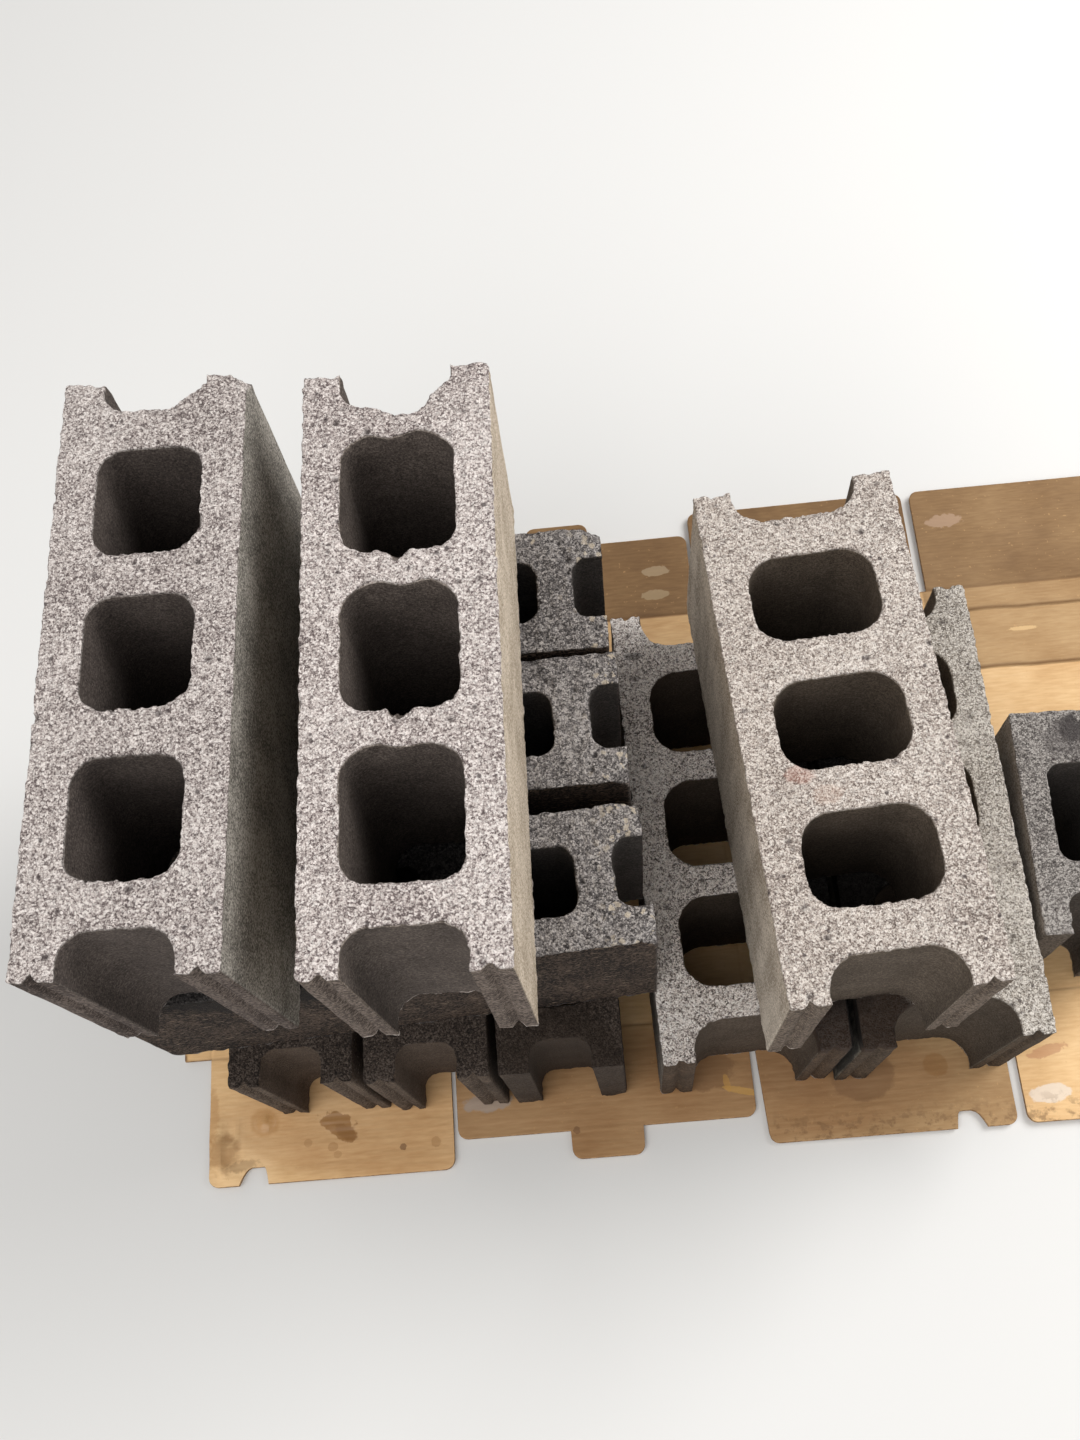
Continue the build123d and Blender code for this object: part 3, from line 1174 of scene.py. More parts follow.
    def nearest_wall(self, points: np.ndarray) -> tuple[np.ndarray, np.ndarray, np.ndarray]:
        """Distance and direction in plan from each place to the nearest upright wall.

        A hole is a rounded rectangle: the part of the offset beyond its inner rectangle is as
        long as the distance plus the corner radius.

        Args:
            points: places in millimetres, shape (n, 3).

        Returns:
            Distance, direction as unit vectors (n, 2), and whether the wall is a hole's.
        """
        size = np.array([self.section.length / 2.0, self.section.width / 2.0])
        plan = points[:, :2]
        room = size - np.abs(plan)
        on_end = room[:, 0] < room[:, 1]
        distance = np.where(on_end, room[:, 0], room[:, 1])
        direction = np.where(on_end[:, None], [1.0, 0.0], [0.0, 1.0]) * np.sign(plan)
        hole = np.zeros(len(points), dtype=bool)
        radius = self.section.core_radius
        draft = self.opening(points[:, 2])
        for middle, half in self.section.pockets:
            offset = plan - np.array([middle, 0.0])
            inner = np.stack([half + draft, self.section.half_hole + draft], axis=1) - radius
            beyond = np.maximum(np.abs(offset) - inner, 0.0)
            length = np.linalg.norm(beyond, axis=1)
            gap = length - radius
            near = (gap < distance - 1e-6) & (length > 1e-9)
            away = -np.sign(offset) * beyond / np.maximum(length, 1e-9)[:, None]
            distance = np.where(near, gap, distance)
            direction = np.where(near[:, None], away, direction)
            hole = hole | near
        return np.maximum(distance, 0.0), direction, hole

    def worn(self, points: np.ndarray) -> tuple[np.ndarray, dict[str, np.ndarray]]:
        """Rounds the arrises by a ragged radius.

        In the square between a wall and a bed, a place moves to the arc round the square's
        inner corner, straight towards that corner. The radius changes along the arris.

        Args:
            points: sharp-edged places in millimetres.

        Returns:
            Worn places, and the fields bed, inner and end.
        """
        distance, direction, hole = self.nearest_wall(points)
        height = points[:, 2]
        from_top = BLOCK_HEIGHT - height
        nearer_top = from_top < height
        depth = np.minimum(from_top, height)
        foot = points.copy()
        foot[:, :2] += direction * distance[:, None]
        foot[:, 2] = np.where(nearer_top, BLOCK_HEIGHT, 0.0)
        _, small = grain_noise(foot, TOOTH_SIZE, self.seed + 3)
        _, large = grain_noise(foot, FLAKE_SIZE, self.seed + 4)
        lumps = layered_noise(foot, SWELL_SIZE, self.seed + 9)
        teeth = small**2 * (1.0 + 0.6 * lumps) + 2.2 * eased(large, 0.88, 1.0)
        backward = np.where(hole & nearer_top, np.maximum(-direction[:, 0], 0.0), 0.0)
        radius = self.arris + self.ragged * teeth + self.worn_back * backward * (0.7 + 0.6 * small)
        radius = np.maximum(radius, 0.3)
        out = np.clip(radius - distance, 0.0, None)
        up = np.clip(radius - depth, 0.0, None)
        factor = arc_share(out, up)
        moved = points.copy()
        moved[:, :2] -= direction * (out * (1.0 - factor))[:, None]
        moved[:, 2] += np.where(nearer_top, -1.0, 1.0) * up * (1.0 - factor)
        forward = np.where(hole, np.maximum(direction[:, 0], 0.0), 0.0)
        moved[:, 0] += self.lip * (0.75 + 0.5 * small) * forward * self.lip_run(from_top)
        thick = 1.6 + forward * np.minimum(self.lip, 2.0)
        bed = np.where(depth < 1e-3, 1.0, eased(depth - thick, 0.6, -1.2))
        end = (self.section.length / 2.0 - np.abs(points[:, 0]) < 0.01) & ~hole
        return moved, {"bed": bed, "inner": hole * (1.0 - bed), "end": end * (1.0 - bed)}

    def lip_run(self, depth: np.ndarray) -> np.ndarray:
        """Lean of a hole's front lip: sqrt(1 - (1 - d / h)^2) at a depth d, fading out below."""
        left = np.clip(1.0 - depth / LIP_DEPTH, 0.0, 1.0)
        return np.sqrt(1.0 - left**2) * eased(depth, 125.0, 45.0)

    def rounded_corners(self, points: np.ndarray) -> np.ndarray:
        """Rounds the upright outer corners by the same rule, in plan.

        Args:
            points: places in millimetres.

        Returns:
            Moved places.
        """
        size = np.array([self.section.length / 2.0, self.section.width / 2.0])
        uneven = lattice_noise(points * np.array([1.0, 1.0, 0.35]), 9.0, self.seed + 31)
        wear = CORNER_WEAR * (1.0 + 0.5 * uneven)
        offset = np.abs(points[:, :2]) - (size - wear[:, None])
        back = offset * (1.0 - arc_share(offset[:, 0], offset[:, 1]))[:, None]
        moved = points.copy()
        moved[:, :2] -= np.sign(points[:, :2]) * back
        return moved

    def grooved(self, points: np.ndarray) -> np.ndarray:
        """Presses the upright V grooves into the legs' ends.

        The depth falls evenly from the groove's middle to its edges, and fades out behind the
        end face. The rear ones may be shallower.

        Args:
            points: places in millimetres.

        Returns:
            Moved places.
        """
        if not self.section.grooved:
            return points
        leg = (self.section.width / 2.0 + self.section.half_hole) / 2.0
        across = np.abs(np.abs(points[:, 1]) - leg) / (GROOVE_WIDTH / 2.0)
        depth = GROOVE_DEPTH * np.clip(1.0 - across, 0.0, 1.0)
        depth *= np.where(points[:, 0] > 0.0, self.rear_groove, 1.0)
        behind = self.section.length / 2.0 - np.abs(points[:, 0])
        moved = points.copy()
        moved[:, 0] -= np.sign(points[:, 0]) * depth * eased(behind, GROOVE_RUN, 0.0)
        return moved

    def dented(self, points: np.ndarray) -> np.ndarray:
        """Moves places near each dent by its own step, fading smoothly to its reach.

        The distance is shaken by noise, so that a dent's edge is uneven.

        Args:
            points: places in millimetres.

        Returns:
            Moved places.
        """
        moved = points.copy()
        shake = 1.0 + 0.25 * layered_noise(points, 5.0, self.seed + 41)
        for dent in self.dents:
            middle = np.array([dent.along, dent.across, BLOCK_HEIGHT])
            scale = np.array([dent.reach, dent.reach, dent.reach * dent.tall])
            away = np.linalg.norm((points - middle) / scale, axis=1)
            moved += np.array(dent.move) * eased(away * shake, 1.0, 0.1)[:, None]
        return moved

    def broken(self, points: np.ndarray) -> tuple[np.ndarray, np.ndarray]:
        """Cuts each broken corner back to its plane, with a rough face.

        The plane passes through a point on each of the corner's three arrises. A place
        outside it moves straight back to it.

        Args:
            points: places in millimetres.

        Returns:
            Moved places, and how much each lies on a break.
        """
        moved = points.copy()
        fresh = np.zeros(len(points))
        rough = layered_noise(points, BREAK_GRAIN, self.seed + 51) * 1.1 + 0.6
        for chip in self.breaks:
            end = chip.end * self.section.length / 2.0
            corner = np.array([end, chip.side * self.section.width / 2.0, BLOCK_HEIGHT])
            normal = np.array([chip.end / chip.length, chip.side / chip.across, 1.0 / chip.drop])
            size = np.linalg.norm(normal)
            above = (1.0 + (moved - corner) @ normal) / size
            cut = np.maximum(above + rough * eased(above, -0.5, 1.0), 0.0)
            moved -= (normal / size)[None] * cut[:, None]
            fresh = np.maximum(fresh, eased(above, 0.0, 1.0))
        return moved, fresh

    def roughened(
        self,
        points: np.ndarray,
        normals: np.ndarray,
        fields: dict[str, np.ndarray],
    ) -> tuple[np.ndarray, np.ndarray]:
        """Presses grain and pits into the surface.

        Grains are layered noise, pits are bowls round some middles of a cellular pattern, and
        a slow unevenness runs under both.

        Args:
            points: places in millimetres.
            normals: unit normals.
            fields: bed, inner and end.

        Returns:
            Moved places, and the pit field.
        """
        near_bed = np.minimum(BLOCK_HEIGHT - points[:, 2], points[:, 2])
        sharp = np.maximum(fields["bed"], eased(near_bed, 26.0, 8.0) * 0.7)
        sharp = np.maximum(sharp, self.side_roughness)
        grain = layered_noise(points, GRAIN_SIZE, self.seed, 2)
        pit_away, pit_number = grain_noise(points, PIT_SIZE, self.seed + 61)
        share = self.pit_share
        if self.seam > 0.0:
            share = share + self.seam * eased(np.abs(points[:, 1]), 8.0, 3.0)
        chosen = (pit_number < share).astype(float)
        bowl = chosen * eased(pit_away, 0.36, 0.05) * fields["bed"]
        slope = layered_noise(points, SLOPE_SIZE, self.seed + 71)
        depth = self.roughness * grain * sharp + bowl * PIT_DEPTH + slope * SLOPE_DEPTH
        depth = depth + SKIN_DEPTH - SKIN_DEPTH * fields["inner"]
        return points - normals * depth[:, None], np.clip(bowl * 1.3, 0.0, 1.0)

    def build(self, material: bpy.types.Material) -> bpy.types.Object:
        """Makes the block's piece, which replaces its node.

        Args:
            material: its finish.

        Returns:
            The piece.
        """
        sharp, faces = self.surface()
        points, fields = self.worn(sharp)
        points = self.grooved(self.rounded_corners(points))
        points = self.dented(points)
        points, fresh = self.broken(points)
        points, pit = self.roughened(points, vertex_normals(points, faces), fields)
        fields["bed"] = np.maximum(fields["bed"], fresh)
        fields["inner"] = fields["inner"] * (1.0 - fresh)
        fields["end"] = fields["end"] * (1.0 - fresh)
        fields["pit"] = pit
        piece = make_piece(f"cast_{self.node}", self.seat.placed(points), faces, fields)
        piece.data.materials.append(material)
        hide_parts(self.node)
        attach(piece, BODY)
        LOG.info("%s: %d triangles", piece.name, 2 * len(faces))
        return piece


@dataclass
class FlattenedCarton:
    """Carton opened along its glued seam and laid flat: four panels, a tab and eight flaps."""

    height: float = 412.0
    flap: float = 115.0
    short_flap: float = 90.0
    tab: float = 25.0
    panels: tuple[float, float, float, float] = (226.0, 274.0, 230.5, 277.5)
    slot: float = 4.0
    last_slot: float = 9.0
    tip_radius: float = 9.0
    tongue: float = 65.0
    notch_width: float = 27.0
    notch_depth: float = 15.0
    notch_slants: tuple[float, float] = (12.5, 4.0)
    first_notch: float = 41.0
    third_notch: float = 184.0
    refolds: tuple[float, float] = (27.0, 91.0)
    # Painted shade added behind each refold of the last panel, and behind the rear crease.
    shades: tuple[float, float, float] = (0.09, 0.50, 0.26)
    splay: float = 5.0
    crease_depth: float = 0.8
    crease_half: float = 1.8
    warp: float = 0.8
    tip_lift: float = 2.2
    refold_lift: float = 2.2
    crumple: tuple[float, float] = (-479.0, -290.0)
    crumple_reach: float = 25.0
    blister: tuple[float, float] = (-441.0, -267.0)
    blister_reach: float = 9.0
    blister_height: float = 2.6
    step: float = 8.0
    close_run: tuple[float, float] = (12.0, 62.0)
    close_step: float = 3.0
    seed: int = 907

    @property
    def left(self) -> float:
        """Left side of the blank."""
        return -(self.tab + sum(self.panels)) / 2.0

    @property
    def folds(self) -> list[float]:
        """Upright creases between the tab and the panels."""
        first = self.left + self.tab
        return [first] + [first + sum(self.panels[:n]) for n in (1, 2, 3)]

    @property
    def flaps(self) -> list[tuple[float, float]]:
        """Left and right side of each flap."""
        folds = self.folds
        half = self.slot / 2.0
        last = self.last_slot / 2.0
        return [
            (folds[0], folds[1] - half),
            (folds[1] + half, folds[2] - half),
            (folds[2] + half, folds[3] - last),
            (folds[3] + last, -self.left),
        ]

    def corner_drop(self, inset: np.ndarray, radius: float) -> np.ndarray:
        """How far a round corner lies back at e from its side: r - sqrt(r^2 - (r - e)^2)."""
        back = np.clip(radius - inset, 0.0, radius)
        return radius - np.sqrt(np.maximum(radius**2 - back**2, 0.0))

    def flap_length(self, number: int, x: np.ndarray) -> np.ndarray:
        """Length of a flap at each place across it, with its round tips, notch or tongue.

        A notch deepens along each slanting side by 1 - (1 - s)^2, s the share of the way in.

        Args:
            number: which flap, from 0.
            x: places in millimetres.

        Returns:
            Distance from the crease to the tip.
        """
        low, high = self.flaps[number]
        inset = np.minimum(x - low, high - x)
        if number == 1:
            middle = (low + high) / 2.0
            inside = self.tongue / 2.0 - np.abs(x - middle)
            tongue = self.flap - self.corner_drop(np.maximum(inside, 0.0), self.tip_radius)
            plain = self.short_flap - self.corner_drop(inset, self.tip_radius)
            return np.where(inside >= 0.0, tongue, plain)
        length = self.flap - self.corner_drop(inset, self.tip_radius)
        if number in (0, 2):
            offset = self.first_notch if number == 0 else self.third_notch
            slants = self.notch_slants if number == 0 else self.notch_slants[::-1]
            left = (self.notch_width / 2.0 + x - low - offset) / slants[0]
            right = (self.notch_width / 2.0 - x + low + offset) / slants[1]
            share = np.clip(np.minimum(left, right), 0.0, 1.0)
            length = length - self.notch_depth * (1.0 - (1.0 - share) ** 2)
        return length

    def stations(self) -> np.ndarray:
        """Places along X: even steps, every slot side, and closer steps at tips and notches.

        Returns:
            Sorted places in millimetres.
        """
        places = [np.arange(self.left, -self.left, self.step), np.array([-self.left])]
        first, last = self.close_run
        places.append(np.arange(self.folds[0] + first, self.folds[0] + last, self.close_step))
        for low, high in self.flaps:
            places += [low + TIP_STEPS, high - TIP_STEPS]
        forms = (
            (sum(self.flaps[1]) / 2.0, self.tongue / 2.0),
            (self.flaps[0][0] + self.first_notch, self.notch_width / 2.0),
            (self.flaps[2][0] + self.third_notch, self.notch_width / 2.0),
        )
        for middle, half in forms:
            for side in (-1.0, 1.0):
                places.append(middle + side * (half - TIP_STEPS[:7]))
                places.append(middle + side * (half + TIP_STEPS[1]))
        for fold in self.folds:
            places += [fold + CREASE_STEPS[:3], fold - CREASE_STEPS[:3]]
        every = np.unique(np.round(np.concatenate([np.atleast_1d(p) for p in places]), 3))
        every = every[(every >= self.left) & (every <= -self.left)]
        must = np.array([side for flap in self.flaps for side in flap] + [self.left, -self.left])
        kept = np.round(must, 3)
        gap = np.min(np.abs(every[:, None] - kept[None]), axis=1)
        spread = np.concatenate([[True], np.diff(every) > 0.25])
        return every[(gap < 1e-6) | (spread & (gap > 0.25))]

    def crease_sink(self, away: np.ndarray) -> np.ndarray:
        """Depth of a crease, which falls evenly from its middle to its edge."""
        return self.crease_depth * np.clip(1.0 - np.abs(away) / self.crease_half, 0.0, 1.0)

    def raised(self, plan: np.ndarray, footprints: np.ndarray) -> np.ndarray:
        """Height of the board's upper face.

        It lies at its own thickness, sinks in the creases, and lifts a little where no block
        stands: more towards the flap tips, and in a fold or two.

        Args:
            plan: places in millimetres, shape (n, 2).
            footprints: low x, high x, low y, high y of each block on it, shape (k, 4).

        Returns:
            Heights in millimetres.
        """
        x, y = plan[:, 0], plan[:, 1]
        outside_x = np.maximum(footprints[:, 0] - x[:, None], x[:, None] - footprints[:, 1])
        outside_y = np.maximum(footprints[:, 2] - y[:, None], y[:, None] - footprints[:, 3])
        clear = np.min(np.hypot(np.maximum(outside_x, 0.0), np.maximum(outside_y, 0.0)), axis=1)
        free = eased(clear, 4.0, 70.0)
        spot = np.stack([x, y, np.zeros_like(x)], axis=1)
        wave = layered_noise(spot * np.array([0.6, 1.0, 1.0]), 120.0, self.seed)
        tip = eased(np.abs(y), self.height / 2.0, self.height / 2.0 + self.flap)
        lift = free * (self.warp * (1.0 + wave) + self.tip_lift * tip * (0.6 + 0.4 * wave))
        sink = np.zeros_like(x)
        for fold in self.folds:
            inside = np.abs(y) < self.height / 2.0
            sink += self.crease_sink(x - fold) * inside
        sink += self.crease_sink(np.abs(y) - self.height / 2.0)
        last = eased(x, self.folds[3], self.folds[3] + 6.0)
        for away in self.from_refolds(plan):
            sink += self.crease_sink(away) * last
            lift += last * free * self.refold_lift * eased(np.abs(away), 26.0, 2.0) * (away > 0.0)
        near = np.hypot(x - self.crumple[0], (y - self.crumple[1]) * 0.6) / self.crumple_reach
        fold = np.abs(lattice_noise(spot * np.array([1.3, 0.6, 1.0]), 15.0, self.seed + 3))
        lift += eased(near, 1.0, 0.2) * (1.0 + 9.0 * (0.5 - fold))
        bubble = np.hypot(x - self.blister[0], y - self.blister[1]) / self.blister_reach
        lift += self.blister_height * eased(bubble, 1.0, 0.1)
        return BOARD_THICKNESS + np.maximum(lift, 0.0) - np.minimum(sink, 0.9)

    def from_refolds(self, plan: np.ndarray) -> list[np.ndarray]:
        """Distance behind each extra fold of the last panel, which runs a little crooked.

        Args:
            plan: places in millimetres, shape (n, 2).

        Returns:
            One array for each fold.
        """
        flat = np.stack([plan[:, 0], np.zeros(len(plan)), np.zeros(len(plan))], axis=1)
        bend = 1.6 * layered_noise(flat, 60.0, self.seed + 5)
        lines = [self.height / 2.0 - distance for distance in self.refolds]
        return [plan[:, 1] - line - bend for line in lines]

    def marks(self, plan: np.ndarray) -> dict[str, np.ndarray]:
        """Numbers for the finish: how much tone lies on each strip, and the creases and dirt.

        Painted shade: each strip behind a fold is darker than the one before it, and the back of
        the panels and the middle front flaps are darker too; the creases get painted shade, and the
        front flaps under the stack are dirty towards their tips.

        Args:
            plan: places in millimetres, shape (n, 2).

        Returns:
            The fields shade, crease and worn.
        """
        x, y = plan[:, 0], plan[:, 1]
        half = self.height / 2.0
        last = eased(x, self.folds[3] - 2.0, self.folds[3] + 4.0)
        # Painted shade: the rear flaps, the strips behind the last panel's refolds, and the back of the
        # other panels.
        painted_shade = self.shades[2] * eased(y, half - 1.5, half + 1.0)
        painted_shade += (0.35 * eased(y, half - 2.0, half + 1.0) + 0.35 * eased(y, 60.0, 180.0)) * (1.0 - last)
        # Painted shade along the rear and front creases, and along the refolds.
        crease = eased(np.abs(np.abs(y) - half), 2.4, 0.0) * 0.7
        for away, step in zip(self.from_refolds(plan), self.shades):
            painted_shade += step * eased(away, -2.0, 1.0) * last
            crease = np.maximum(crease, eased(np.abs(away - 1.0), 2.4, 0.0) * last)
        middle = eased(x, self.folds[1] - 3.0, self.folds[1] + 3.0)
        middle *= eased(x, self.folds[3] + 3.0, self.folds[3] - 3.0)
        # Painted shadow of the stack on the middle front flaps.
        painted_shade += 0.58 * middle * eased(y, -half + 20.0, -half - 30.0)
        tip = eased(-y, half + self.flap - 34.0, half + self.flap - 4.0)
        worn = tip * eased(x, self.folds[2] - 2.0, self.folds[2] + 2.0)
        return {"painted_shade": np.clip(painted_shade, 0.0, 1.0), "crease": crease, "worn": worn}

    def sheet(self) -> tuple[np.ndarray, np.ndarray]:
        """Flat outline as joined grids: the panels in one, and a grid for every flap.

        Returns:
            Places in plan with height 0, and faces that point up.
        """
        surface = Surface()
        x = self.stations()
        half = self.height / 2.0
        rows = [np.arange(-half, half, self.step), [half]]
        rows += [-half + CREASE_STEPS, half - CREASE_STEPS]
        for distance in self.refolds:
            rows += [half - distance - CREASE_STEPS, half - distance + CREASE_STEPS]
        y = np.unique(np.round(np.concatenate(rows), 3))
        y = y[np.concatenate([[True], np.diff(y) > 0.3])]
        y[-1] = half
        grid = np.stack(np.meshgrid(x, y, [0.0], indexing="ij"), axis=-1)[:, :, 0]
        surface.add_grid(grid)
        for number, (low, high) in enumerate(self.flaps):
            across = x[(x > low - 1e-6) & (x < high + 1e-6)]
            length = self.flap_length(number, across)
            for side in (-1.0, 1.0):
                reach = side * (half + length[:, None] * FLAP_SHARES[None])
                spread = np.broadcast_to(across[:, None], reach.shape)
                if number == 2 and side < 0.0:
                    left = eased(spread, low + 70.0, low)
                    spread = spread + self.splay * FLAP_SHARES[None] * left
                flap = np.stack([spread, reach, np.zeros_like(reach)], axis=-1)
                surface.add_grid(flap if side > 0.0 else flap[:, ::-1])
        return surface.merged()

    def build(self, material: bpy.types.Material, blocks: list[HollowBlock]) -> bpy.types.Object:
        """Gives the sheet its height and thickness and closes its rim.

        A rim edge is a side that belongs to one face only.

        Args:
            material: its finish.
            blocks: every block, for the footprints of the lowest tier.

        Returns:
            The piece.
        """
        plan, faces = self.sheet()
        boxes = [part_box(block.node) for block in blocks if block.seat.tier == 0]
        spans = np.array([[low[0], high[0], low[1], high[1]] for low, high in boxes]) / MM
        top = plan.copy()
        top[:, 2] = self.raised(plan[:, :2], spans)
        bottom = plan.copy()
        bottom[:, 2] = np.maximum(top[:, 2] - BOARD_THICKNESS, 0.0)
        count = len(plan)
        sides = np.concatenate([faces[:, [n, (n + 1) % 4]] for n in range(4)])
        keys = np.sort(sides, axis=1)
        _, first, uses = np.unique(keys, axis=0, return_index=True, return_counts=True)
        rim = sides[first[uses == 1]]
        band = np.stack([rim[:, 1], rim[:, 0], rim[:, 0] + count, rim[:, 1] + count], axis=1)
        points = np.concatenate([top, bottom])
        every = np.concatenate([faces, faces[:, ::-1] + count, band])
        on_rim = np.zeros(len(points))
        on_rim[np.unique(band)] = 1.0
        fields = {"rim": on_rim} | self.marks(points[:, :2])
        piece = make_piece("laid_carton", points * MM, every, fields)
        piece.data.materials.append(material)
        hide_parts("flattened_carton")
        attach(piece, BODY)
        LOG.info("%s: %d triangles", piece.name, 2 * len(every))
        return piece


def rotation(axis: str, angle: float) -> Matrix:
    """3 x 3 matrix of a turn about X, Y or Z, in radians."""
    return Matrix.Rotation(angle, 3, axis)


@dataclass(frozen=True)
class Lamp:
    """Square soft lamp: place in metres, length of its side and power in watts."""

    name: str
    place: tuple[float, float, float]
    size: float
    power: float


@dataclass
class Studio:
    """Plain pale floor, soft light and the photograph's camera."""

    eye: tuple[float, float, float] = (-0.1055, -0.422, 1.32455)
    swing: float = math.radians(6.0)
    tilt: float = 0.3811
    roll: float = -0.18947
    lens: float = 35.315
    floor_size: float = 12.0
    floor_colour: Colour = (0.74, 0.73, 0.71, 1.0)
    floor_drop: float = 0.0005
    world_strength: float = 0.50
    aim: tuple[float, float, float] = (0.0, 0.0, 0.3)
    lamps: tuple[Lamp, ...] = (
        Lamp("key", (1.9, 0.9, 2.3), 1.8, 74.0),
        Lamp("fill", (-1.0, -1.3, 2.6), 2.4, 44.0),
    )

    def camera(self) -> None:
        """Stands the camera where the photograph was taken."""
        data = bpy.data.cameras.new("photograph")
        data.sensor_fit = "AUTO"
        data.sensor_width = 36.0
        data.lens = self.lens
        camera = bpy.data.objects.new("photograph", data)
        camera.location = self.eye
        turn = rotation("Z", self.swing) @ rotation("X", self.tilt) @ rotation("Z", self.roll)
        camera.rotation_euler = turn.to_euler()
        bpy.context.scene.collection.objects.link(camera)
        bpy.context.scene.camera = camera

    def hang(self, lamp: Lamp) -> None:
        """Hangs a lamp that faces the stack.

        Args:
            lamp: what hangs where.
        """
        data = bpy.data.lights.new(lamp.name, "AREA")
        data.size = lamp.size
        data.energy = lamp.power
        hung = bpy.data.objects.new(lamp.name, data)
        hung.location = lamp.place
        aim = Vector(self.aim) - Vector(lamp.place)
        hung.rotation_euler = aim.to_track_quat("-Z", "Y").to_euler()
        bpy.context.scene.collection.objects.link(hung)

    def floor(self) -> None:
        """Lays the floor."""
        half = self.floor_size / 2.0
        mesh = bpy.data.meshes.new("floor")
        plan = ((-half, -half), (half, -half), (half, half), (-half, half))
        mesh.from_pydata([(x, y, -self.floor_drop) for x, y in plan], [], [(0, 1, 2, 3)])
        floor = bpy.data.objects.new("floor", mesh)
        bpy.context.scene.collection.objects.link(floor)
        paint = Paint("pale_floor")
        floor.data.materials.append(paint.finish(self.floor_colour, 0.9, None, 0.1))

    def light(self) -> None:
        """Sets the sky and the lamps."""
        world = bpy.data.worlds.new("studio")
        world.use_nodes = True
        sky = world.node_tree.nodes["Background"]
        sky.inputs["Color"].default_value = (1.0, 1.0, 1.0, 1.0)
        sky.inputs["Strength"].default_value = self.world_strength
        bpy.context.scene.world = world
        for lamp in self.lamps:
            self.hang(lamp)

    def build(self) -> None:
        """Sets up the whole studio."""
        self.camera()
        self.floor()
        self.light()
        bpy.context.scene.view_settings.view_transform = "Standard"


THIN = Section(width=100.0, shell=25.5, web=26.0, recess=24.5, core_radius=13.0)
THIN_GROOVED = Section(width=100.0, shell=25.5, web=25.0, recess=29.0, core_radius=13.0, grooved=True)
MEDIUM = Section(width=120.0, shell=26.5, web=27.0, recess=25.5, core_radius=17.0, grooved=True)
WIDE = Section(width=150.0, shell=28.5, web=30.0, recess=30.0, core_radius=24.0, grooved=True)
HALF = Section(
    width=100.0,
    shell=25.5,
    web=29.0,
    recess=32.0,
    core_radius=13.0,
    length=190.0,
    cores=1,
    end_wall=49.0,
)
PALE: dict[str, object] = {"fineness": Fineness.CLOSE, "rear_groove": 0.3, "side_roughness": 0.3}
COARSE: dict[str, object] = {
    "arris": 0.8,
    "ragged": 2.4,
    "roughness": 1.5,
    "side_roughness": 0.55,
    "pit_share": 0.20,
}
BROWN: dict[str, object] = {"fineness": Fineness.COARSE, "roughness": 1.1, "side_roughness": 0.45}


